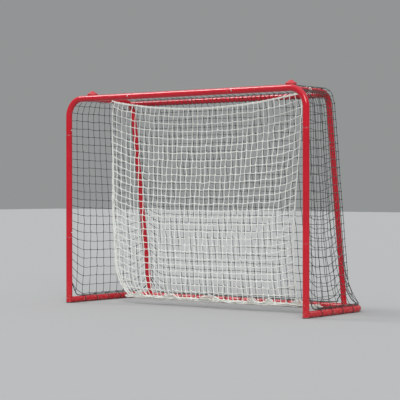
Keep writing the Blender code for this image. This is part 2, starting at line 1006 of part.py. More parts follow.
# Border rope: from one post down to the ground tube, up behind each stay, and round to the other
behind_leg = on_leg(0.112) + leg_rear * (stay_radius + border_rope_radius + 0.0006)
half_rope = [
    Vector((post_x, frame_radius + border_rope_radius + 0.001, 0.112)),
    Vector((post_x, frame_radius + 0.030, 0.070)),
    Vector((post_x, frame_radius + 0.065, rope_top_z)),
    Vector((post_x, 0.250, rope_top_z)),
    Vector((post_x, arc_centre_y, rope_top_z)),
]
half_rope += arc_points(
    Vector((arc_centre_x, arc_centre_y, rope_top_z)), ex, ey, rear_corner_radius, 0.2, corner_turn, 3
)
half_rope += [
    Vector((stay_x + 0.050, 0.562, 0.058)),
    Vector((stay_x + 0.022, behind_leg.y + 0.001, 0.088)),
    Vector((stay_x, behind_leg.y, behind_leg.z)),
    Vector((stay_x - 0.022, behind_leg.y + 0.001, 0.088)),
    Vector((stay_x - 0.045, rear_y + 0.004, 0.058)),
    Vector((stay_x - 0.075, rear_y, rope_top_z)),
    Vector((0.300, rear_y, rope_top_z)),
]
other_half = [mirrored(p, -1) for p in reversed(half_rope)]
verts, faces = rod(half_rope + other_half, border_rope_radius, 6)
node("outer_net_border_rope", verts, faces, dark_cord)
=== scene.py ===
# %% [markdown]
# # A hockey goal of red steel tube
#
# The goal is a rounded front frame of painted tube, a ground frame, two side stays that lean
# down from the crossbar, a white net hung inside the mouth and a dark net over the outside.
# An engineering model of it exists already, with its joints. This lesson gives that model its
# looks: smooth tube with lips and welds, knotted nets, laid rope, and finishes for each.
#
# We start by loading the model. Everything below is in metres, in the model's own frame:
# +X runs across the mouth, +Y from the mouth to the back, +Z up, and the floor is z = 0.

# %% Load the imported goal
import math

import bpy
import numpy as np
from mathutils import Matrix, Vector


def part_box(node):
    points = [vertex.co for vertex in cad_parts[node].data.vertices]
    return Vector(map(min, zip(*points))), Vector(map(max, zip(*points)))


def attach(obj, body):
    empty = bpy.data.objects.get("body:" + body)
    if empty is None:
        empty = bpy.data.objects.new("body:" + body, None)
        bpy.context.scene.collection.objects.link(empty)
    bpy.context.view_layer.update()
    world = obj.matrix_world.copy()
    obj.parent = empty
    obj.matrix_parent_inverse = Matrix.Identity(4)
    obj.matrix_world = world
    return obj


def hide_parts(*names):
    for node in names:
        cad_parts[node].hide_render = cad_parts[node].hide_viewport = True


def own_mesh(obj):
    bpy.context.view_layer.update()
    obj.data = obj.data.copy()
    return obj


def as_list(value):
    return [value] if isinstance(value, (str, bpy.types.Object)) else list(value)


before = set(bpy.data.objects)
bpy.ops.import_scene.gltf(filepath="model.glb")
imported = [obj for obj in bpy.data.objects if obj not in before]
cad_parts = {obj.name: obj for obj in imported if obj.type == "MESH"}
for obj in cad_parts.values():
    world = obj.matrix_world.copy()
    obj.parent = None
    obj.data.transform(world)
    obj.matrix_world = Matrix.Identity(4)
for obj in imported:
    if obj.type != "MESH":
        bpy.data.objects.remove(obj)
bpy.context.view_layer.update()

# %% [markdown]
# ## The camera
#
# A photograph of a straight-edged thing can be solved like a puzzle: the posts are upright and
# parallel, the crossbar is level and 1.6 m wide, so the vanishing points give the lens and the
# place where the photographer stood. It comes out low, 0.65 m above the grass, about 7.9 m
# away to the right, with a long lens. Depth of field stays off, because all of the goal is
# sharp, and a very small shift puts the horizon where the picture has it.

# %% Set up the camera
def add_object(name, data):
    obj = bpy.data.objects.new(name, data)
    bpy.context.scene.collection.objects.link(obj)
    return obj


view = bpy.data.cameras.new("long_lens")
view.sensor_width = 36.0
view.lens = 128.14
view.shift_x = -0.001
view.shift_y = 0.00875
view.clip_end = 60.0
camera = add_object("photo_camera", view)
camera.location = (4.8283, -6.2499, 0.6471)
camera.rotation_euler = (math.radians(90 - 0.536), 0.0, math.radians(38.142))
bpy.context.scene.camera = camera

# %% [markdown]
# ## Sizes the looks are tied to
#
# The visible tubes must sit exactly where the engineering tubes are, so the main places are
# measured from the model instead of typed again. What the boxes can't tell, such as how deep
# one tube slips into the next, is written here by name.

# %% Measure the model and name the rest
def middle(node):
    low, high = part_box(node)
    return (low + high) / 2


def half_width(node, axis):
    low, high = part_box(node)
    return (high[axis] - low[axis]) / 2


front_y, bar_z = middle("crossbar_middle_tube").yz
rear_y, base_z = middle("base_rear_tube").yz
post_x = middle("post_tube_right").x
stay_x = middle("stay_leg_tube_right").x
frame_radius, frame_wall = half_width("crossbar_middle_tube", 2), 0.0015
stay_radius, stay_wall = half_width("stay_leg_tube_right", 0), 0.0012
frame_tube = (frame_radius, frame_wall)
stay_tube = (stay_radius, stay_wall)

gap = 0.0003
sleeve_length = 0.060
shoulder_length = 0.002
corner_radius = 0.100
stay_bend_radius = 0.080
joint_half_width = 0.333
post_joints = {"upper": 0.963, "lower": 0.377}
stay_joints = {"upper": 0.879, "lower": 0.262}

ex, ey, ez = Vector((1, 0, 0)), Vector((0, 1, 0)), Vector((0, 0, 1))
sides = {"left": -1, "right": 1}
stay_corner = Vector((0, front_y + 0.402, bar_z))
stay_foot = Vector((0, rear_y, base_z))
leg_way = (stay_foot - stay_corner).normalized()
leg_rear = Vector((0, -leg_way.z, leg_way.y))


def on_leg(height, x=0.0):
    """Point on a stay's leg centre line at a height."""
    point = stay_corner + leg_way * (stay_corner.z - height) / -leg_way.z
    return Vector((x, point.y, point.z))


print(f"tube {2000 * frame_radius:.1f} mm, stays {2000 * stay_radius:.1f} mm, depth {rear_y - front_y:.3f} m")

# %% [markdown]
# ## From lists of points to meshes
#
# Nearly everything on a goal is a line with a thickness: tube, cord, rope, weld. The helpers
# carry a ring of points along a line without letting it twist and join the rings with faces.
# A small map says how far round and how far along each face is, so that a material can draw
# the lay of a cord along its own length.

# %% Sweep a ring along a line
def full_turn(count):
    return 2 * np.pi * np.arange(count) / count


def turned(turns, a, b):
    """Directions at the given turns, from a towards b."""
    return np.cos(turns)[..., None] * np.array(a, float) + np.sin(turns)[..., None] * np.array(b, float)


def directions(line, closed=False):
    """The way a line runs at each of its points."""
    ahead = np.roll(line, -1, 0) - np.roll(line, 1, 0) if closed else np.gradient(line, axis=0)
    return ahead / np.linalg.norm(ahead, axis=1)[:, None]


def distances(line):
    """Metres along a line at each of its points."""
    return np.concatenate([[0], np.cumsum(np.linalg.norm(np.diff(line, axis=0), axis=1))])


def carried(line, closed=False):
    """Two directions square to a line at each point, carried along it without a twist."""
    ahead = directions(line, closed)
    first = np.cross(ahead[0], (0.31, 0.17, 0.94))
    side = np.empty_like(line)
    for i, way in enumerate(ahead):
        first = first - way * first.dot(way)
        first /= np.linalg.norm(first)
        side[i] = first
    return side, np.cross(ahead, side)


def ring_faces(count, around, closed=False):
    """Faces that join rings of points, either into a loop or with a cap at each end."""
    faces = []
    for i in range(count if closed else count - 1):
        a, b = i * around, (i + 1) % count * around
        for k in range(around):
            m = (k + 1) % around
            faces.append((a + k, a + m, b + m, b + k))
    if closed:
        return faces
    return faces + [tuple(range(around))[::-1], tuple(range((count - 1) * around, count * around))]


def lay_map(far, around, closed=False):
    """The map that goes with ring_faces: share of a turn, and metres along."""
    places = []
    for v0, v1 in zip(far, far[1:]):
        for k in range(around):
            u0, u1 = k / around, (k + 1) / around
            places += [(u0, v0), (u1, v0), (u1, v1), (u0, v1)]
    return places if closed else places + [(0, 0)] * (2 * around)


def cord_shape(line, radius, around=6, closed=False):
    """(points, faces, map) of a solid cord along a line. radius may change from point to point."""
    line = np.asarray(line, float)
    side, other = carried(line, closed)
    ring = turned(full_turn(around), side[:, None], other[:, None])
    points = (line[:, None] + np.reshape(radius, (-1, 1, 1)) * ring).reshape(-1, 3)
    far = distances(line)
    if closed:
        far = np.append(far, far[-1] + far[1])
    return points, ring_faces(len(line), around, closed), lay_map(far, around, closed)


def together(shapes):
    """Several shapes as one."""
    points, faces, places, start = [], [], [], 0
    for p, f, m in shapes:
        points.append(p)
        faces += [tuple(start + i for i in face) for face in f]
        places += m
        start += len(p)
    return np.concatenate(points), faces, places


print("sweep helpers ready")

# %% [markdown]
# A shape becomes an object in one more step. It takes a finish and the map, rides on a body of
# the model so that it moves with a joint, and is cut where holes or saddles are needed. It
# also hides the node of the model that it stands for.

# %% Turn a shape into an object
def new_mesh(name, points, faces):
    mesh = bpy.data.meshes.new(name)
    mesh.from_pydata([tuple(p) for p in points], [], faces)
    return mesh


def cut(obj, bars):
    """Cuts hidden bars out of an object and keeps the result as its mesh."""
    for bar in bars:
        step = obj.modifiers.new("cut", "BOOLEAN")
        step.operation = "DIFFERENCE"
        step.solver = "EXACT"
        step.object = bar
    bpy.context.view_layer.update()
    graph = bpy.context.evaluated_depsgraph_get()
    obj.data = bpy.data.meshes.new_from_object(obj.evaluated_get(graph))
    obj.modifiers.clear()
    obj.data.shade_smooth()
    for bar in bars:
        bpy.data.objects.remove(bar, do_unlink=True)


def piece(name, shape, finish, node=None, body="frame", bars=(), crisp=None):
    """An object from a shape that rides on a body and may stand for a node of the model.

    bars are cut out of it. Edges sharper than crisp, in degrees, stay sharp to the eye.
    """
    points, faces, places = shape
    mesh = new_mesh(name, points, faces)
    if places:
        mesh.uv_layers.new(name="lay").data.foreach_set("uv", np.asarray(places, np.float32).ravel())
    mesh.materials.append(finish)
    mesh.shade_smooth()
    obj = add_object(name, mesh)
    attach(obj, body)
    if bars:
        cut(obj, bars)
    if crisp:
        obj.data.set_sharp_from_angle(angle=math.radians(crisp))
    if node:
        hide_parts(node)
    return obj


print("object helper ready")

# %% [markdown]
# ## Finishes
#
# The tube is stoved gloss enamel: a strong red that is a little blue, even, with a faint
# orange-peel ripple, chipped only where one tube is pushed over another, and dusty near the
# ground. It is built from the Principled shader, with noise for the ripple and the dust, and
# with a wear value stored on the mesh so that chips gather at lips and holes.

# %% Start a material
class Mixer:
    """Short names for the shader nodes that a finish is mixed from."""

    def __init__(self, tree):
        self.nodes, self.links = tree.nodes, tree.links

    def put(self, socket, value):
        """Sets a socket to a constant, or links another node's output to it."""
        if isinstance(value, bpy.types.NodeSocket):
            self.links.new(value, socket)
        else:
            socket.default_value = value

    def node(self, kind, output, inputs=None, **settings):
        """The named output of a new node with these settings and inputs."""
        made = self.nodes.new("ShaderNode" + kind)
        for name, value in settings.items():
            setattr(made, name, value)
        for name, value in (inputs or {}).items():
            self.put(made.inputs[name], value)
        return made.outputs[output]

    def noise(self, scale, detail=2.0, roughness=0.5):
        """A noise texture in the object's own coordinates."""
        where = self.node("TexCoord", "Object")
        inputs = {"Vector": where, "Scale": scale, "Detail": detail, "Roughness": roughness}
        return self.node("TexNoise", "Fac", inputs)

    def stretch(self, value, low, high, to_low=0.0, to_high=1.0):
        """A value stretched from one range to another and kept inside it."""
        ends = {"From Min": low, "From Max": high, "To Min": to_low, "To Max": to_high}
        return self.node("MapRange", "Result", {"Value": value, **ends})

    def do(self, kind, a, b=0.0):
        """The result of a sum, product or other operation on two values."""
        return self.node("Math", "Value", {0: a, 1: b}, operation=kind)

    def mix(self, share, a, b):
        """Colour a where share is 0, colour b where it is 1."""
        a, b = ((*colour, 1) if isinstance(colour, tuple) else colour for colour in (a, b))
        return self.node("Mix", "Result", {"Factor": share, "A": a, "B": b}, data_type="RGBA")

    def bump(self, height, distance, strength=1.0, **under):
        inputs = {"Height": height, "Distance": distance, "Strength": strength, **under}
        return self.node("Bump", "Normal", inputs)

    def height(self):
        """How high the place is, in the object's own coordinates."""
        return self.node("SeparateXYZ", "Z", {"Vector": self.node("TexCoord", "Object")})


class Finish(Mixer):
    """A material whose Principled shader takes what is mixed for it."""

    def __init__(self, name, colour, roughness, metallic=0.0):
        self.material = bpy.data.materials.new(name)
        self.material.use_nodes = True
        self.material.diffuse_color = (*colour, 1)
        super().__init__(self.material.node_tree)
        self.look(Base_Color=(*colour, 1), Roughness=roughness, Metallic=metallic)

    def look(self, **values):
        for name, value in values.items():
            self.put(self.nodes["Principled BSDF"].inputs[name.replace("_", " ")], value)


print("material helpers ready")

# %% Red enamel
def enamel(name, colour, worn_colour, dust_colour):
    f = Finish(name, colour, 0.3)
    deep = tuple(c * 0.82 for c in colour)
    paint = f.mix(f.stretch(f.noise(5.0, 3.0), 0.3, 0.7), deep, colour)

    low = f.stretch(f.height(), 0.16, 0.0)
    grit = f.stretch(f.noise(90.0, 5.0, 0.7), 0.52, 0.68)
    dust = f.do("MULTIPLY", f.do("MULTIPLY", low, low), grit)
    dusty = f.mix(dust, paint, dust_colour)

    worn = f.node("Attribute", "Fac", attribute_name="wear")
    chips = f.stretch(f.do("ADD", worn, f.noise(700.0, 4.0, 0.75)), 1.46, 1.52)
    shine = f.stretch(f.noise(26.0, 4.0), 0.3, 0.7, 0.15, 0.24)
    peel = f.bump(f.noise(260.0), 0.00025, 0.25)
    f.look(
        Base_Color=f.mix(chips, dusty, worn_colour),
        Roughness=f.do("ADD", shine, f.do("MULTIPLY", dust, 0.45)),
        Normal=f.bump(f.do("SUBTRACT", 1.0, chips), 0.0001, 0.6, Normal=peel),
    )
    return f.material


red_enamel = enamel("red_enamel", (0.56, 0.005, 0.019), (0.30, 0.29, 0.28), (0.30, 0.235, 0.16))
print("red enamel mixed")

# %% [markdown]
# Steel buttons and washers are zinc plated: pale, slightly brushed and a little cloudy. The
# hand screws are moulded red plastic, duller than the enamel, with a fine grain. The plugs in
# the post feet are black plastic, grey with soil.

# %% Zinc and plastics
def plated(name):
    f = Finish(name, (0.72, 0.73, 0.74), 0.34, 1.0)
    cloud = f.stretch(f.noise(240.0, 4.0), 0.3, 0.7)
    f.look(
        Base_Color=f.mix(cloud, (0.56, 0.57, 0.58), (0.78, 0.79, 0.80)),
        Roughness=f.stretch(cloud, 0, 1, 0.42, 0.26),
        Normal=f.bump(f.noise(2600.0), 0.00003, 0.4),
    )
    return f.material


def moulded(name, colour, grain_scale, dirty, dirt=(0.2, 0.17, 0.13)):
    f = Finish(name, colour, 0.42)
    patch = f.stretch(f.noise(60.0, 4.0), 0.45, 0.75, 0.0, dirty)
    grain = f.noise(grain_scale)
    f.look(
        Base_Color=f.mix(patch, colour, dirt),
        Roughness=f.stretch(grain, 0.3, 0.7, 0.36, 0.52),
        Normal=f.bump(grain, 0.00006, 0.35),
    )
    return f.material


zinc = plated("zinc_plate")
red_plastic = moulded("red_moulding", (0.52, 0.02, 0.03), 1500.0, 0.12)
black_plastic = moulded("black_plug", (0.02, 0.02, 0.022), 1200.0, 0.6)
print("zinc and plastics mixed")

# %% [markdown]
# Net cord and rope are spun from many fibres. Up close the eye reads the lay: slanting ribs
# that run round the cord. The map from the sweep helper gives the way round and the way
# along, so a sine of both makes ribs that follow every cord, whatever way it runs. The ribs
# raise the surface, and the colour is darkened in the grooves between them as painted shade.
# A little sheen stands for the loose fibres, and noise keeps the white from being one flat white.

# %% Spun cord
def spun(name, dark, light, rib_length, rough=0.85, soil=None, strands=2):
    """Cord finish. rib_length is how far along one rib repeats, in metres."""
    f = Finish(name, light, rough)
    lay = f.node("UVMap", "UV", uv_map="lay")
    along = f.do("MULTIPLY", f.node("SeparateXYZ", "Y", {"Vector": lay}), 2 * math.pi / rib_length)
    round_it = f.do("MULTIPLY", f.node("SeparateXYZ", "X", {"Vector": lay}), 2 * math.pi * strands)
    rib = f.stretch(f.do("SINE", f.do("ADD", along, round_it)), -1.0, 1.0)
    cloud = f.stretch(f.noise(38.0, 4.0), 0.3, 0.72)
    # The colour darkens in the grooves between the ribs as painted shade, times a random cloudy tone.
    groove_shade_and_cloud = f.do("MULTIPLY", f.do("POWER", rib, 0.5), cloud)
    tone = f.mix(f.stretch(groove_shade_and_cloud, 0.0, 0.8, 0.35, 1.0), dark, light)
    if soil is not None:
        low = f.stretch(f.height(), 0.16, 0.02)
        smear = f.stretch(f.noise(70.0, 4.0), 0.42, 0.7, 0.0, 0.55)
        tone = f.mix(f.do("MULTIPLY", low, smear), tone, soil)
    relief = f.do("ADD", rib, f.do("MULTIPLY", f.noise(1800.0), 0.4))
    f.look(
        Base_Color=tone,
        Normal=f.bump(relief, 0.0004, 0.7),
        Sheen_Weight=0.25,
        Sheen_Roughness=0.5,
        Specular_IOR_Level=0.3,
    )
    return f.material


white_cord = spun("white_net_cord", (0.62, 0.63, 0.58), (0.86, 0.87, 0.83), 0.006, soil=(0.36, 0.31, 0.20))
white_rope = spun("white_rope_strand", (0.60, 0.60, 0.55), (0.84, 0.85, 0.80), 0.004)
dark_cord = spun("dark_net_cord", (0.006, 0.012, 0.010), (0.022, 0.036, 0.030), 0.005, 0.75)
dark_rope = spun("dark_rope_strand", (0.006, 0.010, 0.009), (0.020, 0.030, 0.026), 0.004, 0.75)
print("cords spun")

# %% [markdown]
# ## Tubes
#
# A knock-down frame is made of bent tubes. At each joint one end is drawn down so that it
# slips inside the next tube, and a spring button snaps out through a hole. The visible tube
# is built as a true tube with a wall: rings follow the centre line outside, then back inside.
# Lips are rounded by half a millimetre so that they catch the light, as cut and deburred
# tube does. The holes are cut afterwards with real Boolean cuts.

# %% Make one tube
def bent(points, radius=0.0, steps=20):
    """Stations (point, direction) along straight runs joined by round bends."""
    points = [Vector(p) for p in points]
    stations = [(points[0], (points[1] - points[0]).normalized())]
    for before, corner, after in zip(points, points[1:], points[2:]):
        d1, d2 = (corner - before).normalized(), (after - corner).normalized()
        turn = d1.angle(d2)
        start = corner - d1 * radius * math.tan(turn / 2)
        across = (d2 - d1 * d1.dot(d2)).normalized()
        for k in range(steps + 1):
            a = turn * k / steps
            at = start + d1 * radius * math.sin(a) + across * radius * (1 - math.cos(a))
            stations.append((at, d1 * math.cos(a) + across * math.sin(a)))
    stations.append((points[-1], (points[-1] - points[-2]).normalized()))
    return stations


def tube_end(point, way, outer, bore, drawn):
    """Rows (point, outer radius, bore radius) for one end. way points out of the tube."""
    lip = 0.0005
    if drawn:
        slim, reach = drawn
        rows = [
            (point + way * reach, slim - lip, slim - frame_wall),
            (point + way * (reach - lip), slim, slim - frame_wall),
            (point, slim, slim - frame_wall),
            (point - way * shoulder_length * 0.35, outer - 0.0006, bore),
            (point - way * shoulder_length, outer, bore),
        ]
    else:
        rows = [
            (point, outer - lip, bore + lip * 0.4),
            (point - way * lip * 0.4, outer - lip * 0.25, bore),
            (point - way * lip, outer, bore),
        ]
    return rows + [(point - way * 0.006, outer, bore), (point - way * 0.016, outer, bore)]


def tube_shape(stations, outer, wall, first=None, last=None, around=48):
    """A tube open at both ends. first and last give a drawn-down end's radius and length."""
    bore = outer - wall
    p, d = stations[0]
    q, e = stations[-1]
    rows = [(at, d, a, b) for at, a, b in tube_end(p, -d, outer, bore, first)]
    rows += [(at, way, outer, bore) for at, way in stations[1:-1]]
    rows += [(at, e, a, b) for at, a, b in tube_end(q, e, outer, bore, last)[::-1]]
    flat = d.orthogonal().normalized()
    outside, inside = [], []
    for at, way, a, b in rows:
        flat = (flat - way * flat.dot(way)).normalized()
        ring = turned(full_turn(around), flat, way.cross(flat))
        outside.append(np.array(at) + ring * a)
        inside.append(np.array(at) + ring * b)
    return np.concatenate(outside + inside[::-1]), ring_faces(2 * len(rows), around, True), []


def round_cutter(centre, way, radius, reach, around=40):
    """A hidden round bar that cuts a hole or a saddle."""
    way = Vector(way).normalized()
    line = [Vector(centre) + way * far for far in (reach[0], sum(reach) / 2, reach[1])]
    points, faces, _ = cord_shape(line, radius, around)
    return add_object("cutter", new_mesh("cutter", points, faces))


print("tube helpers ready")

# %% [markdown]
# Each tube is then made from the same few facts: its bends, which ends are drawn down, where
# a button comes through, and what it is cut round to fit. Wear is written on the mesh as a
# number from 0 to 1 that is high at the lips and at the button holes, where parts rub. A mesh
# blends such numbers from point to point, so each hole gets a ring of points on either side
# that ends the wear there. Without them it would run out along the whole straight tube.
#
# The twelve places of the snap buttons come first, because the holes need them and later the
# buttons themselves do. Each has a point, the way out, the way its leaf runs, and its tube.

# %% List the snap buttons
button_setback = 0.027
button_x = joint_half_width + button_setback
buttons = {}
for name, s in sides.items():
    inner = Vector((-s, 0, 0))
    buttons[f"crossbar_{name}"] = ((button_x * s, front_y, bar_z), -ey, inner, frame_tube)
    buttons[f"base_{name}"] = ((button_x * s, rear_y, base_z), -ey, inner, frame_tube)
    for level, height in post_joints.items():
        place = (post_x * s, front_y, height + button_setback)
        buttons[f"post_{level}_{name}"] = (place, inner, -ez, frame_tube)
    for level, height in stay_joints.items():
        place = on_leg(height, stay_x * s) - leg_way * button_setback
        buttons[f"stay_{level}_{name}"] = (place, -leg_rear, leg_way, stay_tube)
print(len(buttons), "places for snap buttons")

# %% Make a painted tube with its holes and wear
hole_radius = 0.0043
hole_rim = 0.0045
bar_socket_radius = 0.0113
tube_edge = 32


def wear_on(obj, spots, reach=0.0012):
    """Stores wear from 0 to 1: high near the given spots."""
    co = np.empty(len(obj.data.vertices) * 3, np.float32)
    obj.data.vertices.foreach_get("co", co)
    co = co.reshape(-1, 3)
    worn = np.zeros(len(co))
    for spot, radius in spots:
        away = np.abs(np.linalg.norm(co - np.array(spot), axis=1) - radius)
        worn = np.maximum(worn, np.exp(-((away / reach) ** 2)))
    store = obj.data.attributes.new("wear", "FLOAT", "POINT")
    store.data.foreach_set("value", worn.astype(np.float32))


def rings_by_holes(stations, holes, reach=0.009, end_rows=0.017):
    """Two more stations beside each hole on a straight run, so that its wear stays near it."""
    for at, _ in holes:
        for shift in (-reach, reach):
            for i, ((start, way), (stop, _)) in enumerate(zip(stations, stations[1:])):
                off = Vector(at) - start
                far = off.dot(way) + shift
                if off.cross(way).length < 1e-4 and end_rows < far < (stop - start).length - end_rows:
                    stations = stations[: i + 1] + [(start + way * far, way)] + stations[i + 1 :]
                    break
    return stations


def painted_tube(name, node, stations, tube, first=None, last=None, holes=(), saddles=(), sockets=()):
    """A tube of the frame. holes are names of buttons or (point, way) pairs."""
    outer, wall = tube
    holes = [buttons[hole][:2] if isinstance(hole, str) else hole for hole in holes]
    stations = rings_by_holes(stations, holes)
    bars = [round_cutter(at, way, hole_radius, (0.005, 0.03), 32) for at, way in holes]
    bars += [round_cutter(at, way, bar_socket_radius, (0.002, 0.03), 40) for at, way in sockets]
    bars += [round_cutter(at, way, frame_radius + gap, (-0.2, 0.2), 96) for at, way in saddles]
    shape = tube_shape(stations, outer, wall, first, last)
    obj = piece(name, shape, red_enamel, node, bars=bars, crisp=tube_edge)
    ends = [(stations[0][0], outer), (stations[-1][0], outer)]
    wear_on(obj, ends + [(Vector(at) + Vector(way) * outer, hole_rim) for at, way in holes])


end_x = joint_half_width - gap
frame_sleeve = (frame_radius - frame_wall - gap, sleeve_length)
stay_sleeve = (stay_radius - stay_wall - gap, sleeve_length)
for name, node, joint, y, z in (
    ("crossbar_middle", "crossbar_middle_tube", "crossbar", front_y, bar_z),
    ("ground_rear_bar", "base_rear_tube", "base", rear_y, base_z),
):
    line = bent([(-end_x, y, z), (end_x, y, z)])
    holes = [f"{joint}_{side}" for side in sides]
    painted_tube(name, node, line, frame_tube, frame_sleeve, frame_sleeve, holes)
print("crossbar and rear bar made")

# %% [markdown]
# The corners and posts come in left and right pairs, so one loop makes both. The ground tube
# butts against the post and is cut to its round, as a welder would notch it.

# %% Front frame and ground frame
cap_height = 0.004
for name, s in sides.items():
    x = post_x * s
    joint_x = joint_half_width * s
    upper, lower = f"post_upper_{name}", f"post_lower_{name}"
    corner_foot = (x, front_y, post_joints["upper"] + gap)
    painted_tube(
        f"upper_corner_{name}",
        f"upper_corner_tube_{name}",
        bent([corner_foot, (x, front_y, bar_z), (joint_x, front_y, bar_z)], corner_radius),
        frame_tube,
        holes=[upper, f"crossbar_{name}"],
    )
    for kind, foot_z, head_z, holes in (
        ("post", post_joints["lower"], post_joints["upper"], [upper, lower]),
        ("post_foot", cap_height, post_joints["lower"], [lower]),
    ):
        line = bent([(x, front_y, foot_z + gap), (x, front_y, head_z)])
        names = (f"{kind}_{name}", f"{kind}_tube_{name}")
        painted_tube(*names, line, frame_tube, last=frame_sleeve, holes=holes)
    painted_tube(
        f"ground_corner_{name}",
        f"base_corner_tube_{name}",
        bent([(x, front_y, base_z), (x, rear_y, base_z), (joint_x, rear_y, base_z)], corner_radius),
        frame_tube,
        holes=[f"base_{name}"],
        saddles=[((x, front_y, base_z), ez)],
    )
print("front and ground frames made")

# %% [markdown]
# The stays are thinner tube. Each slides over a short stub welded behind the crossbar, runs
# level, bends down and leans back to the rear bar. A thin bar joins the two bends and keeps
# the net's top edge straight.

# %% Side stays and the bar between them
bend_start_y = stay_corner.y - stay_bend_radius * math.tan(ey.angle(leg_way) / 2)
top_bar_past_bend = 0.045
top_bar_drop = math.sqrt((stay_bend_radius - 0.0012) ** 2 - top_bar_past_bend**2)
top_bar_y = bend_start_y + top_bar_past_bend
top_bar_z = bar_z - stay_bend_radius + top_bar_drop
screw_y = front_y + 0.056
stub_radius = stay_radius - stay_wall - gap
stub_wall = 0.002
stub_length = 0.105

for name, s in sides.items():
    x = stay_x * s
    shift = Vector((x, 0, 0))
    upper, lower = f"stay_upper_{name}", f"stay_lower_{name}"
    painted_tube(
        f"stay_stub_{name}",
        f"stay_socket_{name}",
        bent([(x, front_y, bar_z), (x, front_y + stub_length, bar_z)]),
        (stub_radius, stub_wall),
        saddles=[((x, front_y, bar_z), ex)],
    )
    arm_start = (x, front_y + frame_radius + 0.003, bar_z)
    painted_tube(
        f"stay_bend_{name}",
        f"stay_bend_tube_{name}",
        bent([arm_start, shift + stay_corner, on_leg(stay_joints["upper"] + gap, x)], stay_bend_radius),
        stay_tube,
        holes=[upper, ((x, screw_y, bar_z), ez)],
        sockets=[((x, top_bar_y, top_bar_z), (-s, 0, 0))],
    )
    painted_tube(
        f"stay_leg_{name}",
        f"stay_leg_tube_{name}",
        bent([on_leg(stay_joints["upper"], x), on_leg(stay_joints["lower"] + gap, x)]),
        stay_tube,
        first=stay_sleeve,
        holes=[upper, lower],
    )
    painted_tube(
        f"stay_foot_{name}",
        f"stay_foot_tube_{name}",
        bent([on_leg(stay_joints["lower"], x), shift + stay_foot]),
        stay_tube,
        first=stay_sleeve,
        holes=[lower],
        saddles=[((x, rear_y, base_z), ex)],
    )

top_bar_end = stay_x - stay_radius - gap
tenon = (0.011, 0.0063)
line = bent([(-top_bar_end, top_bar_y, top_bar_z), (top_bar_end, top_bar_y, top_bar_z)])
painted_tube("rear_top_tube", "rear_top_bar", line, stay_tube, tenon, tenon)
print("stays made")

# %% [markdown]
# ## Welds
#
# Welds are what turns loose tubes into a frame. A weld bead is a small ripple of metal lying
# in the corner where one tube meets another, and the line of that corner can be worked out:
# it is the set of points of one cylinder that also lie on the other. The bead is swept along
# that line, and its thickness swells and shrinks every 2.5 mm, as the welder's hand moves.

# %% Lay the weld beads
def bead(point_at, radius, count, first=0, last=360):
    """A rippled bead through point_at(cosine, sine) of the turns from first to last degrees."""
    closed = last - first == 360
    turns = [math.radians(first + (last - first) * k / count) for k in range(count if closed else count + 1)]
    line = np.array([tuple(point_at(math.cos(a), math.sin(a))) for a in turns])
    far = distances(line)
    ripple = 1 + 0.12 * np.sin(far * 2 * math.pi / 0.0025)
    if not closed:
        ripple *= np.clip(np.minimum(far, far[-1] - far) / 0.004, 0.25, 1)
    return cord_shape(line, radius * ripple, 8, closed)


def height_of(radius, off):
    """How high a tube's surface is at a distance off its middle plane."""
    return math.sqrt(radius**2 - off**2)


boss_radius = 0.008
tenon_saddle = 0.0135
beads = []
for s in sides.values():

    def ground_to_post(c, d):
        out = frame_radius * 1.02
        y = front_y + height_of(frame_radius, frame_radius * c) + 0.0012
        return s * post_x + out * c, y, base_z + out * d

    def stub_to_crossbar(c, d):
        y = front_y + height_of(frame_radius, stub_radius * d) + 0.0008
        return s * stay_x + stub_radius * 1.03 * c, y, bar_z + stub_radius * 1.03 * d

    def foot_to_rear_bar(c, d):
        out = (leg_rear * c + ex * d) * stay_radius * 1.03
        back = height_of(frame_radius, stay_radius * c) + 0.0012
        return Vector((s * stay_x, rear_y, base_z)) + out - leg_way * back

    def boss_to_arm(c, d):
        out = boss_radius * 1.06
        return s * stay_x + out * c, screw_y + out * d, bar_z + height_of(stay_radius, out * c) + 0.0006

    def top_bar_to_bend(c, d):
        x = s * (stay_x - height_of(stay_radius, tenon_saddle * d) - 0.0006)
        return x, top_bar_y + stay_radius * c, top_bar_z + stay_radius * d

    beads += [
        bead(ground_to_post, 0.0021, 70, -25, 205),
        bead(stub_to_crossbar, 0.0013, 60),
        bead(foot_to_rear_bar, 0.0021, 64),
        bead(boss_to_arm, 0.0014, 44),
        bead(top_bar_to_bend, 0.0012, 60),
    ]
piece("weld_beads", together(beads), red_enamel)
print(len(beads), "weld beads")

# %% [markdown]
# ## Hand screws, washers, plugs and buttons
#
# The turned parts share one helper: a profile, given as radius and height, is spun round an
# axis. The six soft lobes of the knob come from letting the radius swell six times in a turn.
# The screw below it carries a real metric thread, 8 mm across with 1.25 mm between ridges,
# because it shows when the screw is backed out.

# %% Spin a profile
def spun_shape(profile, origin, axis=(0, 0, 1), around=40, lobes=0, depth=0.0, hole=False):
    """Rows (radius, height) or (radius, height, share of the lobes) spun round an axis."""
    axis = Vector(axis).normalized()
    flat = axis.orthogonal().normalized()
    turns = full_turn(around)
    ring = turned(turns, flat, axis.cross(flat))
    points = []
    for wide, height, *share in profile:
        swell = 1 + (share[0] * depth * np.cos(lobes * turns) if share else 0 * turns)
        points.append(np.array(origin) + np.array(axis) * height + (wide * swell)[:, None] * ring)
    return np.concatenate(points), ring_faces(len(profile), around, hole), []


def thread_shape(origin, length, radius=0.004, pitch=0.00125, per_pitch=6, around=24):
    """A screw thread that starts at origin and runs up."""
    rows = int(length / pitch * per_pitch)
    points = []
    for i in range(rows + 1):
        z = length * i / rows
        near_tip = min(1.0, 0.55 + z / 0.0025)
        for turn in np.arange(around) / around:
            ridge = abs(((z / pitch - turn) % 1) * 2 - 1)
            wide = (radius - 0.0007 * (1 - ridge)) * near_tip
            a = 2 * math.pi * turn
            points.append((origin[0] + wide * math.cos(a), origin[1] + wide * math.sin(a), origin[2] + z))
    return np.array(points), ring_faces(rows + 1, around), []


print("spinning helper ready")

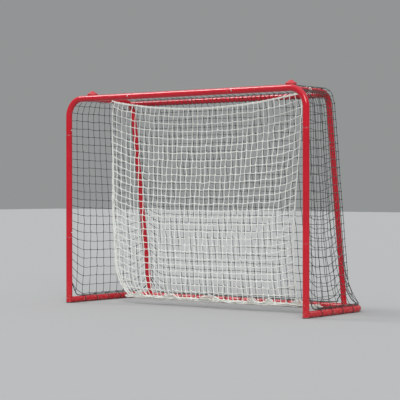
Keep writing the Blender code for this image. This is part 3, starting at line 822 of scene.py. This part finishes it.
# %% Hand screws with their washers and bosses
hard_edge = 35
boss_height = 0.006
washer_thickness = 0.0016
washer_z = bar_z + stay_radius + boss_height + gap
knob_z = washer_z + washer_thickness + gap
tip_z = bar_z + stay_radius - stay_wall
knob_profile = [
    (0.0045, 0.0, 0), (0.0125, 0.0, 0), (0.0132, 0.0008, 0), (0.0240, 0.0010, 0.8),
    (0.0246, -0.0024, 0.8), (0.0262, -0.0030, 1), (0.0275, -0.0022, 1), (0.0278, 0.0000, 1),
    (0.0278, 0.0046, 1), (0.0274, 0.0062, 1), (0.0262, 0.0076, 1), (0.0236, 0.0092, 1),
    (0.0200, 0.0112, 0.9), (0.0168, 0.0134, 0.7), (0.0142, 0.0158, 0.5), (0.0118, 0.0182, 0.3),
    (0.0098, 0.0201, 0.1), (0.0078, 0.0213, 0), (0.0050, 0.0219, 0), (0.0022, 0.0220, 0),
]
washer_ring = [
    (0.0043, 0.0002), (0.0045, 0.0), (0.0088, 0.0), (0.0090, 0.0002),
    (0.0090, 0.0014), (0.0088, washer_thickness), (0.0045, washer_thickness), (0.0043, 0.0014),
]
boss_low = height_of(stay_radius, boss_radius) - 0.0004
boss_top = stay_radius + boss_height
boss_ring = [
    (0.0043, boss_low), (boss_radius, boss_low), (boss_radius, boss_top - 0.0006),
    (0.0074, boss_top), (0.0048, boss_top), (0.0043, boss_top - 0.0005),
]
for name, s in sides.items():
    x, screw = stay_x * s, f"hand_screw_{name}"
    knob = spun_shape(knob_profile, (x, screw_y, knob_z), around=96, lobes=6, depth=0.05)
    node = f"hand_knob_{name}"
    piece(f"hand_screw_knob_{name}", knob, red_plastic, node, screw, crisp=hard_edge)
    thread = thread_shape((x, screw_y, tip_z), knob_z + 0.001 - tip_z)
    piece(f"hand_screw_thread_{name}", thread, zinc, body=screw, crisp=hard_edge)
    washer = spun_shape(washer_ring, (x, screw_y, washer_z), hole=True)
    lift = f"screw_lift_{name}"
    piece(f"screw_washer_{name}", washer, zinc, f"knob_washer_{name}", lift, crisp=hard_edge)
    boss = spun_shape(boss_ring, (x, screw_y, bar_z), hole=True)
    saddle = round_cutter((x, screw_y, bar_z), ey, stay_radius - 0.0006, (-0.02, 0.02), 64)
    piece(f"threaded_boss_{name}", boss, red_enamel, bars=[saddle], crisp=hard_edge)
print("hand screws made")

# %% [markdown]
# The plugs under the posts are pushed in from below and show as a thin black ring on the
# floor. Their ribs grip the inside of the tube.

# %% Foot plugs
plug = frame_radius - frame_wall - gap
plug_profile = [
    (0.0125, 0.0), (frame_radius - 0.0010, 0.0), (frame_radius - 0.0003, 0.0004),
    (frame_radius, 0.0011), (frame_radius, 0.0032), (frame_radius - 0.0004, 0.0038),
    (frame_radius - 0.0012, 0.0040), (plug, 0.0041), (plug, 0.0062), (plug - 0.0007, 0.0068),
    (plug - 0.0007, 0.0090), (plug, 0.0096), (plug, 0.0122), (plug - 0.0007, 0.0128),
    (plug - 0.0007, 0.0150), (plug, 0.0156), (plug - 0.0004, 0.0190), (plug - 0.0016, 0.0200),
]
for name, s in sides.items():
    shape = spun_shape(plug_profile, (post_x * s, front_y, 0), around=48)
    piece(f"foot_plug_{name}", shape, black_plastic, f"foot_cap_{name}", crisp=hard_edge)
print("foot plugs", round(2000 * frame_radius, 1), "mm across")

# %% [markdown]
# The snap buttons are domed pins on a spring leaf inside the tube, and only the dome shows.
# Each pin is spun round the line it moves along. Its leaf is a strip bent back on itself,
# swept as a flat ring along its side view. A pressed button closes the leaf against the far
# wall of the tube.

# %% Snap buttons
def leaf_shape(place, out, along, outline, thick=0.0008, wide=0.008):
    """A bent strip from its side view, a list of (along, out) points of its middle line."""
    place, out, along = (np.array(v, float) for v in (place, out, along))
    across = np.cross(out, along)
    half, side, bevel = thick / 2, wide / 2, 0.0002
    section = [(half, bevel - side), (half, side - bevel), (half - bevel, side), (bevel - half, side)]
    section += [(-a, -b) for a, b in section]
    points = []
    for (a, b), (c, d) in zip(outline, directions(np.array(outline))):
        for up, over in section[::-1]:
            points.append(place + along * (a - d * up) + out * (b + c * up) + across * over)
    return np.array(points), ring_faces(len(outline), len(section)), []


proud = 0.0035
flange_height = 0.0012
half_leaf = 0.0004
for name, (place, way, along, (outer, wall)) in buttons.items():
    bore = (outer - 2 * wall - gap) * math.cos(math.pi / 12)
    flange = height_of(bore, 0.006) - gap
    tip = outer + proud
    profile = [
        (0.0056, flange - flange_height), (0.0060, flange - 0.0010), (0.0060, flange - 0.0002),
        (0.0057, flange), (0.0040, flange), (0.0040, tip - 0.0019), (0.0038, tip - 0.0011),
        (0.0032, tip - 0.0005), (0.0022, tip - 0.0001), (0.0010, tip),
    ]
    dome = spun_shape(profile, place, way, around=28)
    body = f"button_{name}"
    piece(f"button_dome_{name}", dome, zinc, f"snap_button_{name}", body, crisp=hard_edge)

    top = flange - flange_height - gap - half_leaf
    base = height_of(bore, 0.004) - gap - half_leaf
    outline = [(-0.007, top), (0.0, top), (0.0066, top), (0.0085, top - 0.0006), (0.026, 0.0030)]
    outline += [(0.0284, 0.0014), (0.0295, -0.0005), (0.0284, -0.0024), (0.026, -0.0040)]
    outline += [(0.004, 0.0004 - base), (0.002, -base), (-0.003, -base), (-0.007, -base)]
    shape = leaf_shape(place, way, along, outline)
    leaf = piece(f"button_leaf_{name}", shape, zinc, f"button_spring_{name}", crisp=hard_edge)
    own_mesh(leaf)
print(len(buttons), "snap buttons made")

# %% [markdown]
# ## The white net
#
# The net in the mouth is knotted from white cord 4.2 mm thick, about 34 mm from knot to knot
# across and 40 mm down, 38 meshes wide and 27 high. It hangs from a rope between the two
# arms and is gathered into a thick roll at the bottom, so the lowest rows lie closer together.
# It is built as it is made: first a grid of knot places on the hanging cloth, each a little
# off, then a cord along every row and column with a little slack between knots, then a knot
# at each crossing.

# %% The shape the white net hangs in
white_meshes = (38, 27)
white_cord_radius = 0.0021
net_y = front_y + 0.200
net_rope_z = 1.158607
rope_end_x = 0.65485
net_half = rope_end_x - 0.0098
rope_radius = 0.003
roll_radius = 0.012
roll_z = 0.042


def soft_step(t):
    """A step from 0 to 1 that starts and ends gently."""
    t = np.clip(t, 0.0, 1.0)
    return t * t * (3 - 2 * t)


def wave(share, turns, shift=0.0):
    """A wave that swings this many turns while share goes from 0 to 1."""
    return np.sin(2 * np.pi * (turns * share + shift))


def rope_height(x):
    return net_rope_z - 0.060 * (1 - (x / rope_end_x) ** 2)


def roll_line(x):
    """The roll along the bottom, with its right end swept back towards the rear."""
    sweep = 0.045 * soft_step((x / net_half - 0.47) / 0.53)
    return np.array((x, net_y - roll_radius / 2 + sweep, roll_z))


def side_edges(v):
    """The two side edges at a share v of the height: wide under the rope, drawn in below."""
    under_rope = 1 - soft_step((v - 0.93) / 0.07)
    left = net_half + 0.018 * under_rope * soft_step((v - 0.15) / 0.3)
    left -= 0.008 * max(0.0, 1 - v / 0.35)
    wide = soft_step((v - 0.15) / 0.85)
    right = net_half + 0.012 * under_rope * wide - 0.058 * (1 - wide)
    right += 0.017 * max(0.0, 1 - v / 0.2) ** 2
    return -left, right


def edge_rise(u, v):
    """The rows turn up towards the two edges, which are pulled up to the arms."""
    left = 0.052 * max(0.0, 1 - u / 0.15) ** 1.6
    right = 0.034 * max(0.0, 1 - (1 - u) / 0.10) ** 1.6
    return (left + right) * min(1.0, v / 0.10) * (1 - v) ** 0.35


def white_surface(u, v):
    """The hanging cloth, with u across and v up, both from 0 to 1."""
    v *= 0.92 + 0.08 * v
    left, right = side_edges(v)
    lower_corner = 0.100 * max(0.0, 1 - v / 0.20) ** 4.2
    x = left + (right - left) * u + lower_corner * (1 - u) ** 5
    low = roll_line(x)
    fold = 0.007 * wave(u, 5) * (1 - 0.7 * v) * math.sin(math.pi * min(v * 1.1, 1)) ** 0.5
    ripple = 0.003 * wave(u, 8.3, 0.6 * v) * math.sin(math.pi * v)
    y = net_y + (low[1] - net_y) * (1 - v) ** 2 + fold + ripple
    top = rope_height(x) - rope_radius - 0.0005
    bottom = roll_z + roll_radius - 0.003
    z = bottom + (top - bottom) * v + edge_rise(u, v)
    return np.array((x, y, min(z, top)))


print("white net", round(2 * net_half, 3), "m wide")

# %% [markdown]
# The net maker below works for every panel of the goal. It takes the cloth as a function of
# two shares, across and up, so the same code ties the white net and the four dark ones.

# %% Tie a net
knot_rows = ((-1.0, 0.30), (-0.62, 0.86), (0.0, 0.78), (0.62, 0.86), (1.0, 0.30))
knot_faces = ring_faces(len(knot_rows), 6)
knot_map = lay_map([0.002 * i for i in range(len(knot_rows))], 6)


def knot_shape(centre, across, up, size):
    """A knot: a lump with a waist, turned askew."""
    across, up = across / np.linalg.norm(across), up / np.linalg.norm(up)
    out = np.cross(across, up)
    skew = across * 0.8 + up * 0.6
    skew /= np.linalg.norm(skew)
    ring = turned(full_turn(6), np.cross(out, skew), out * 0.9)
    points = [centre + skew * size * far + ring * size * wide * 0.8 for far, wide in knot_rows]
    return np.concatenate(points), knot_faces, knot_map


def slack_line(knots, drop, per):
    """A line through the knots that sags a little between each two."""
    share = np.arange(per) / per
    run = knots[:-1, None] + (knots[1:] - knots[:-1])[:, None] * share[None, :, None]
    run = run + drop[:, None] * (4 * share * (1 - share))[None, :, None]
    return np.concatenate([run.reshape(-1, 3), knots[-1:]])


def net_shape(surface, across, up, cord, knot, seed, off=0.0016, per=3, around=6, edge=1.25):
    """A knotted net over surface(u, v), with across by up meshes. Returns its shape and knots."""
    luck = np.random.default_rng(seed)
    grid = np.array([[surface(i / across, j / up) for j in range(up + 1)] for i in range(across + 1)])
    loose = luck.normal(0, off, grid.shape)
    loose[[0, -1]] *= 0.3
    loose[:, [0, -1]] *= 0.3
    grid = grid + np.clip(loose, -2.2 * off, 2.2 * off)
    shapes = []
    for i in range(across + 1):
        drop = np.zeros((up, 3))
        drop[:, 0] = luck.normal(0, 0.0009, up) + 0.0007 * (-1.0) ** np.arange(up)
        wide = cord * (edge if i in (0, across) else 1)
        shapes.append(cord_shape(slack_line(grid[i], drop, per), wide, around))
    for j in range(up + 1):
        drop = np.zeros((across, 3))
        drop[:, 2] = -np.abs(luck.normal(0.0016, 0.0008, across))
        wide = cord * (edge if j in (0, up) else 1)
        shapes.append(cord_shape(slack_line(grid[:, j], drop, per), wide, around))
    for i in range(across + 1):
        for j in range(up + 1):
            right = grid[min(i + 1, across), j] - grid[max(i - 1, 0), j]
            above = grid[i, min(j + 1, up)] - grid[i, max(j - 1, 0)]
            shapes.append(knot_shape(grid[i, j], right, above, knot * luck.uniform(0.9, 1.12)))
    return together(shapes), grid


def cord_area(flat, across, up, cord):
    cords = (across + 1) * flat[1] + (up + 1) * flat[0]
    return max(cords * math.pi * cord, 0.3 * flat[0] * flat[1])


print("net maker ready")

# %% [markdown]
# Cloth that is drawn in at the sides leaves slack behind. On the white net it hangs as a few
# loose cords that follow each side edge down and turn along the roll, so a helper of its own
# lays them beside the edge, each with its own slow waves.

# %% Hang the white net
white_knot = 0.0060
slack_cord_radius = 0.0019


def gathered_edge(u, top_v, cords, spread, seed):
    """Loose cords that follow a side edge down and turn along the roll."""
    luck = np.random.default_rng(seed)
    edge = np.array([white_surface(u, v) for v in np.linspace(top_v, 0.002, 64)])
    tail = np.array([roll_line(x) for x in np.linspace(edge[-1, 0] + 0.035, edge[-1, 0] + 0.16, 14)])
    line = np.concatenate([edge, tail])
    ahead = directions(line)
    inward = np.stack([-ahead[:, 2], 0 * ahead[:, 2], ahead[:, 0]], 1) * (1 if u == 0 else -1)
    share = np.linspace(0, 1, len(line))
    loose = (0.25 + 0.75 * soft_step(share / 0.45)) * (1 - 0.5 * soft_step((share - 0.8) / 0.15))
    shapes = []
    for k in range(cords):
        waves = luck.uniform(3, 8, 2)
        shift = luck.uniform(0, 1, 2)
        near = spread * (k + 0.5) / cords + 0.003 * wave(share, waves[0], shift[0])
        run = line + (near * loose)[:, None] * inward
        run[:, 1] += 0.004 * wave(share, waves[1], shift[1]) * loose
        shapes.append(cord_shape(run, slack_cord_radius, 5))
    return shapes


white_shape, white_grid = net_shape(white_surface, *white_meshes, white_cord_radius, white_knot, seed=7)
slack_cords = gathered_edge(0, 0.80, 5, 0.015, 51) + gathered_edge(1, 0.62, 2, 0.006, 52)
white_shape = together([white_shape] + slack_cords)
white_net = piece("white_net", white_shape, white_cord, "drop_net", "drop_net")
print("white net", len(white_shape[1]), "faces,", white_grid.shape[0] * white_grid.shape[1], "knots")

# %% [markdown]
# Rope is laid: three strands wound round each other. Each strand is a cord swept along a
# helix that itself follows the rope's line, so the grooves between the strands are real and
# catch the light. The rope ends in an eye at each side, and a tie of thin cord passes through
# the eye and goes three times round the arm. Small loops hold the net's columns to the rope.

# %% Lay a rope
def rope_shape(line, radius, pitch, strands=3, per_turn=8, around=6):
    """A laid rope: strands wound round a line."""
    line = np.asarray(line, float)
    far = distances(line)
    even = np.linspace(0, far[-1], max(8, int(far[-1] / pitch * per_turn)) + 1)
    core = np.stack([np.interp(even, far, line[:, k]) for k in range(3)], 1)
    side, other = carried(core)
    strand = radius * 0.52
    shapes = []
    for k in range(strands):
        turn = even / pitch * 2 * math.pi + 2 * math.pi * k / strands
        shapes.append(cord_shape(core + (radius - strand) * turned(turn, side, other), strand, around))
    return together(shapes)


def ring_line(centre, a, b, radius, count):
    return np.array(centre) + radius * turned(full_turn(count), a, b)


tie_angle = math.radians(200)
tie_reach = 0.026
arm_wrap = stay_radius + 0.0017
eye_x = stay_x + math.cos(tie_angle) * tie_reach - (0.002 - 2.5 * gap)

top_line = [(x, net_y, rope_height(x)) for x in np.linspace(-rope_end_x, rope_end_x, 60)]
rope_parts = [rope_shape(top_line, 0.0031, 0.020)]
for s in sides.values():
    eye = ring_line((s * eye_x, net_y, net_rope_z), (s, 0, 0), ey, 0.0062, 24)
    rope_parts.append(cord_shape(eye, 0.0017, 8, True))
    for k in range(4):
        at = rope_end_x - 0.003 - 0.0024 * k
        whipping = ring_line((s * at, net_y, rope_height(at)), ey, ez, 0.0036, 14)
        rope_parts.append(cord_shape(whipping, 0.0011, 6, True))
for x in white_grid[:, -1, 0]:
    loop = ring_line((x, net_y, rope_height(x) - 0.0014), (0.35, 0.94, 0), ez, 0.0052, 12)
    rope_parts.append(cord_shape(loop, 0.0012, 5, True))
shape = together(rope_parts)
top_rope = piece("white_top_rope", shape, white_rope, "drop_net_top_rope", "drop_net")
print("top rope", round(2 * rope_end_x, 3), "m between its eyes")

# %% Ties round the arms
def tie_line(s, spread=0.011, turns=3, per=26):
    """Three turns round an arm that close up where they pass through the rope's eye."""
    line = []
    corner = math.acos(arm_wrap / tie_reach)
    for k in range(turns * per + 1):
        a = 2 * math.pi * k / per + tie_angle
        away = abs((a - tie_angle + math.pi) % (2 * math.pi) - math.pi)
        reach = arm_wrap / math.cos(max(0.0, corner - away))
        near = max(0.0, 1 - away / 1.2)
        back = (k / per - turns / 2) * (spread * (1 - near) + 0.0024 * near) + 0.010 * (1 - near)
        line.append((s * (stay_x + reach * math.cos(a)), net_y + back, bar_z + reach * math.sin(a)))
    return line


def trefoil(centre, size, s):
    """The line of a simple knot, closed on itself."""
    t = full_turn(30)
    knot = [s * (np.sin(t) + 2 * np.sin(2 * t)), -np.sin(3 * t), np.cos(t) - 2 * np.cos(2 * t)]
    return np.array(centre) + size * np.stack(knot, 1)


def smooth_line(points, per=6):
    """A rounded line through the given points, with several new ones between each two."""
    points = np.asarray([tuple(p) for p in points], float)
    padded = np.vstack([2 * points[0] - points[1], points, 2 * points[-1] - points[-2]])
    line = []
    for a, b, c, d in zip(padded, padded[1:], padded[2:], padded[3:]):
        for t in np.arange(per) / per:
            bend = (2 * a - 5 * b + 4 * c - d) * t**2 + (3 * b - a - 3 * c + d) * t**3
            line.append(0.5 * (2 * b + (c - a) * t + bend))
    return np.array(line + [points[-1]])


tie_radius = 0.0014
tails = (
    ((0.002, -0.002, -0.012), (-0.001, -0.004, -0.026)),
    ((-0.004, 0.003, -0.007), (-0.006, 0.004, -0.018)),
)
for name, s in sides.items():
    knot_at = Vector((s * (stay_x - 0.010), net_y + 0.014, bar_z - stay_radius - 0.0075))
    parts = [cord_shape(tie_line(s), tie_radius, 7)]
    parts.append(cord_shape(trefoil(knot_at, 0.0015, s), tie_radius, 7, True))
    for tail in tails:
        line = smooth_line([knot_at] + [knot_at + Vector((s * x, y, z)) for x, y, z in tail])
        parts.append(cord_shape(line, 0.0013, 7))
    piece(f"white_tie_{name}", together(parts), white_rope, f"drop_net_tie_{name}")
print("ties made")

# %% [markdown]
# The lower edge is left long and gathered: many cords lie side by side in a roll that is a
# little over 20 mm thick. Each cord wanders slowly round the roll's line at its own depth, so
# the light breaks differently all along it, and loops of thinner cord hold the bunch. Six
# folds of slack net lie on top of the roll, where the picture shows lumps.

# %% Gather the bottom roll
luck = np.random.default_rng(23)
roll_x = np.linspace(-0.560, 0.745, 74)
core = np.array([roll_line(x) for x in roll_x])
side_way, other_way = carried(core)
share = (roll_x - roll_x[0]) / (roll_x[-1] - roll_x[0])
narrow = 0.45 + 0.55 * soft_step((roll_x - roll_x[0]) / 0.07)
roll_cord_radius = 0.0018
roll_parts = []
for k in range(16):
    depth = 0.0012 + 0.0072 * math.sqrt((k + 0.5) / 16)
    turn = 2.4 * k + 2.2 * wave(share, luck.uniform(1.5, 3.5), luck.uniform())
    depth = depth * (1 + 0.16 * wave(share, luck.uniform(4, 9), luck.uniform())) * narrow
    strand = core + depth[:, None] * turned(turn, side_way, other_way)
    roll_parts.append(cord_shape(strand, roll_cord_radius, 6))
for at in np.linspace(0.02, 0.98, 13):
    place = int(at * (len(core) - 1))
    loop = ring_line(core[place], side_way[place], other_way[place] + (0.35, 0, 0), 0.0098, 18)
    roll_parts.append(cord_shape(loop, 0.0013, 6, True))

loose_folds = ((-0.46, 0.030), (-0.23, 0.055), (0.06, 0.070), (0.34, 0.028), (0.44, 0.028), (0.61, 0.045))
share = np.linspace(0, 1, 20)
rise = np.sin(math.pi * share) ** 0.7
for centre_x, reach in loose_folds:
    for k in range(8):
        ends = centre_x + reach * luck.uniform(0.6, 1.1, 2) * (-1, 1)
        waves, shift = luck.uniform(1.5, 4, 2), luck.uniform(0, 1, 2)
        fold = np.array([roll_line(x) for x in ends[0] + (ends[1] - ends[0]) * share])
        fold[:, 1] += luck.uniform(-0.009, 0.006) + 0.003 * wave(share, waves[0], shift[0])
        fold[:, 2] += 0.006 + rise * (0.003 * (k + 1) + 0.003 * wave(share, waves[1], shift[1]))
        roll_parts.append(cord_shape(fold, roll_cord_radius, 5))
shape = together(roll_parts)
roll = piece("white_bottom_roll", shape, white_cord, "drop_net_bottom_rope", "drop_net")

print("bottom roll of", len(roll_parts), "cords and loops")

# %% [markdown]
# ## The dark nets
#
# Four panels of thin dark green cord close the goal from outside: two sides, a top and a
# back. They are stretched over the tubes, so their shapes are ruled surfaces between the
# edges that hold them: the post and its bend in front, the stay behind, a border rope below.

# %% Lines that hold the dark nets
skin = stay_radius + 0.0022
outer_half = stay_x + stay_radius + 0.010
rope_z = 2 * frame_radius + 0.005
low_z = rope_z + 0.008
border_lift = 0.075
side_front_y = front_y + frame_radius + 0.0006
side_rear_x = stay_x + stay_radius + 0.0075
arc_y = rear_y - corner_radius
arc_x = post_x - corner_radius


def arc(centre, a, b, radius, first, last, steps):
    """Points of an arc round a centre, from direction a towards b."""
    turns = [first + (last - first) * k / steps for k in range(steps + 1)]
    return [Vector(centre) + (Vector(a) * math.cos(t) + Vector(b) * math.sin(t)) * radius for t in turns]


def along_line(points, share):
    """The point at a share of the length of a line of points."""
    lengths = [(b - a).length for a, b in zip(points, points[1:])]
    left = share * sum(lengths)
    for a, b, length in zip(points, points[1:], lengths):
        if left <= length or b is points[-1]:
            return a.lerp(b, min(left / length, 1.0))
        left -= length


right_angle = math.pi / 2
bend_centre = Vector((0, bend_start_y, bar_z - stay_bend_radius))
bend_turn = right_angle - ey.angle(leg_way)
corner_centre = (arc_x, side_front_y, bar_z - corner_radius)
front_edge = [Vector((post_x, side_front_y, 0.122))]
front_edge += arc(corner_centre, ex, ez, corner_radius, 0, right_angle, 16)
bend_edge = arc(bend_centre, ey, ez, stay_bend_radius, bend_turn, right_angle, 12)
rear_edge = [Vector((side_rear_x, p.y, p.z)) for p in [on_leg(0.118)] + bend_edge]
low_edge = [front_edge[0], Vector((post_x, side_front_y + 0.032, 0.082))]
low_edge += [Vector((post_x, side_front_y + 0.080, low_z)), Vector((post_x, arc_y, low_z))]
low_edge += arc((arc_x, arc_y, low_z), ex, ey, corner_radius, 0.2, math.radians(45), 6) + [rear_edge[0]]


def side_surface(s):
    """The cloth of one side, from the post back and from the ground up."""

    def surface(u, v):
        across = along_line(front_edge, v).lerp(along_line(rear_edge, v), u)
        dip = along_line(low_edge, u) - front_edge[0].lerp(rear_edge[0], u)
        flare = (1 - v) ** 7
        sag = Vector((0, 0, -0.020 * u * v * (1 - v)))
        point = across + Vector((dip.x * flare, dip.y * flare, dip.z * (1 - v) ** 3)) + sag
        return np.array((point.x * s, point.y, point.z))

    return surface


def top_surface(u, v):
    x = outer_half * (2 * u - 1)
    first = front_y + frame_radius + 0.0045
    sag = 0.004 * math.sin(math.pi * v) * math.sin(math.pi * u)
    return np.array((x, first + (bend_start_y - 0.002 - first) * v, bar_z + skin - sag))


back_line = [bend_centre + Vector((0, 0.002, stay_bend_radius + skin))]
back_line += arc(bend_centre, ey, ez, stay_bend_radius + skin, 1.45, bend_turn, 12)
back_line.append(on_leg(low_z) + leg_rear * skin)


def back_surface(u, v):
    x = outer_half * (2 * u - 1)
    lift = border_lift * (1 - soft_step((stay_x - abs(x)) / 0.10))
    point = along_line(back_line, (1 - lift / (bar_z - low_z)) * (1 - v))
    return np.array((x, point.y, point.z))


print("back net line", round(sum((b - a).length for a, b in zip(back_line, back_line[1:])), 3), "m")

# %% [markdown]
# The dark cord is thinner, 2.8 mm, and its meshes are a little wider, so it reads as a fine
# grid from a few metres away. The panels are tied one after another with the same net maker.

# %% Tie the dark nets
dark_cord_radius = 0.0014
dark_knot = 0.0038
stays = ["stay_leg_tube_left", "stay_leg_tube_right"]
dark_panels = [
    (name, f"dark_side_net_{name}", side_surface(s), 11, 25, 31 + s, (0.52, 1.07),
     [f"post_tube_{name}", f"stay_leg_tube_{name}"])
    for name, s in sides.items()
]
dark_panels.append(("top", "dark_top_net", top_surface, 32, 7, 41, (1.40, 0.31), ["crossbar_middle_tube"]))
dark_panels.append(("back", "dark_back_net", back_surface, 32, 26, 43, (1.38, 1.12), stays))
dark_grids = {}
for panel, name, surface, across, up, seed, flat, held_on in dark_panels:
    shape, dark_grids[panel] = net_shape(
        surface, across, up, dark_cord_radius, dark_knot, seed, off=0.0012, per=2, around=5, edge=1.15
    )
    net = piece(name, shape, dark_cord, f"outer_net_{panel}")
    area = cord_area(flat, across, up, dark_cord_radius)
    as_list(held_on)
    print(name, len(shape[1]), "faces")

# %% [markdown]
# A border rope runs round the foot of the dark nets: down behind each post, along the ground
# tubes and up behind the stays. Lashings hold it on the tube every hundred millimetres. A
# lashing takes the shortest way round tube and rope, which is the outline of two circles with
# a band stretched round them, and the helper finds it direction by direction.

# %% Border rope, lashings and lacing
dark_rope_radius = 0.0031


def band(circles, count=26):
    """Points of a band stretched round circles (a, b, radius) in a plane."""
    points = []
    for t in full_turn(count):
        way = (math.cos(t), math.sin(t))
        a, b, r = max(circles, key=lambda c: c[0] * way[0] + c[1] * way[1] + c[2])
        points.append((a + r * way[0], b + r * way[1]))
    return points


behind = on_leg(0.112) + leg_rear * (stay_radius + 0.0036)
post_back_y = front_y + frame_radius
half_rope = [
    (post_x, post_back_y + 0.004, 0.112), (post_x, post_back_y + 0.030, 0.070),
    (post_x, post_back_y + 0.065, rope_z), (post_x, front_y + 0.250, rope_z), (post_x, arc_y, rope_z),
]
half_rope += [tuple(p) for p in arc((arc_x, arc_y, rope_z), ex, ey, corner_radius, 0.2, math.radians(45), 4)]
half_rope += [
    (stay_x + 0.050, front_y + 0.562, 0.058), (stay_x + 0.022, behind.y + 0.001, 0.088),
    (stay_x, behind.y, behind.z), (stay_x - 0.022, behind.y + 0.001, 0.088),
    (stay_x - 0.045, rear_y + 0.004, 0.058), (stay_x - 0.075, rear_y, rope_z),
    (0.300, rear_y, rope_z), (0.0, rear_y, rope_z),
]
border_line = smooth_line(half_rope + [(-x, y, z) for x, y, z in half_rope[-2::-1]], 8)
border_parts = [rope_shape(border_line, dark_rope_radius, 0.022, per_turn=6, around=5)]

wrap_gap = 0.0013
lashing_radius = 0.0012
circles = [(0, base_z, frame_radius + wrap_gap), (0, rope_z, dark_rope_radius + wrap_gap)]
loop = [(a, max(b, 0.0014)) for a, b in band(circles)]
lashings = []
for s in sides.values():
    for y in (0.12, 0.22, 0.32, 0.42):
        for turn in (-0.0013, 0.0013):
            lashings.append([(s * post_x + a, front_y + y + turn + 0.1 * a, b) for a, b in loop])
for x in np.linspace(-0.54, 0.54, 11):
    for turn in (-0.0013, 0.0013):
        lashings.append([(x + turn + 0.1 * a, rear_y + a, b) for a, b in loop])
border_parts += [cord_shape(line, lashing_radius, 5, True) for line in lashings]


def link(knot, rope_line):
    """A small loop that holds a knot to the nearest place of a rope, if that is near enough."""
    near = int(np.argmin(np.linalg.norm(rope_line - knot, axis=1)))
    way = rope_line[min(near + 1, len(rope_line) - 1)] - rope_line[max(near - 1, 0)]
    up = knot - rope_line[near]
    height = np.linalg.norm(up)
    if height > 0.02:
        return []
    up /= height
    out = np.cross(way / np.linalg.norm(way), up)
    out /= np.linalg.norm(out)
    outline = band([(0, 0, 0.0042), (0, height, 0.0027)], 14)
    return [cord_shape([rope_line[near] + out * a + up * b for a, b in outline], 0.0010, 5, True)]


for panel in ("left", "right", "back"):
    for knot in dark_grids[panel][:, 0]:
        border_parts += link(knot, border_line)
piece("dark_border_rope", together(border_parts), dark_rope, "outer_net_border_rope")
print("border rope", round(float(distances(border_line)[-1]), 2), "m long")

# %% Lacing on the rear top bar
lace_pitch = 0.030
lace_start = -(stay_x - 0.045)
lace_turns = int(-2 * lace_start / lace_pitch)
net_way = Vector((0, top_bar_past_bend, top_bar_z - bend_centre.z)).normalized()
net_over_bar = bend_centre + net_way * (stay_bend_radius + skin)
outline = band([(top_bar_y, top_bar_z, stay_radius + 0.0016), (net_over_bar.y, net_over_bar.z, 0.0033)], 24)
lace = [(lace_start + lace_pitch * k / 24, *outline[k % 24]) for k in range(lace_turns * 24 + 1)]
piece("dark_lacing", cord_shape(lace, 0.0015, 6), dark_rope)
print("lacing with", lace_turns, "turns")

# %% [markdown]
# ## Floor and light
#
# A pale plain floor and soft light, so that the goal can be judged by itself. A round bar
# shows a bright line where it mirrors a lamp. The camera stands on the right, so the crossbar
# needs its lamp high on the left, as far to that side as the camera is to the other. A wider
# lamp shines from the front right, where the posts have their bright edges. The world is mid
# grey at the horizon, which sets off the white cords, and brighter above.

# %% Floor, lamps and world
reach = 30.0
corners = [(-reach, -reach, 0), (reach, -reach, 0), (reach, reach, 0), (-reach, reach, 0)]
floor = add_object("studio_floor", new_mesh("studio_floor", corners, [(0, 1, 2, 3)]))
floor.data.materials.append(Finish("pale_floor", (0.36, 0.357, 0.352), 0.95).material)


def soft_sun(name, to_light, angle, energy):
    """A distant lamp, as wide in the sky as angle says, in degrees."""
    light = bpy.data.lights.new(name, "SUN")
    light.angle = math.radians(angle)
    light.energy = energy
    add_object(name, light).rotation_euler = Vector(to_light).to_track_quat("Z", "Y").to_euler()


soft_sun("bright_sky", (-0.62, -0.20, 0.76), 18, 1.32)
soft_sun("open_side", (0.56, -0.64, 0.50), 24, 1.95)

world = bpy.data.worlds.new("studio_world")
bpy.context.scene.world = world
world.use_nodes = True
world.node_tree.nodes.clear()
sky = Mixer(world.node_tree)
height = sky.node("SeparateXYZ", "Z", {"Vector": sky.node("TexCoord", "Generated")})
ramp = sky.mix(sky.stretch(height, 0.30, 0.95), (0.29, 0.30, 0.30), (1.0, 1.05, 1.1))
out = sky.nodes.new("ShaderNodeOutputWorld")
sky.links.new(sky.node("Background", "Background", {"Color": ramp}), out.inputs["Surface"])
bpy.context.scene.view_settings.view_transform = "Standard"
print("studio ready")
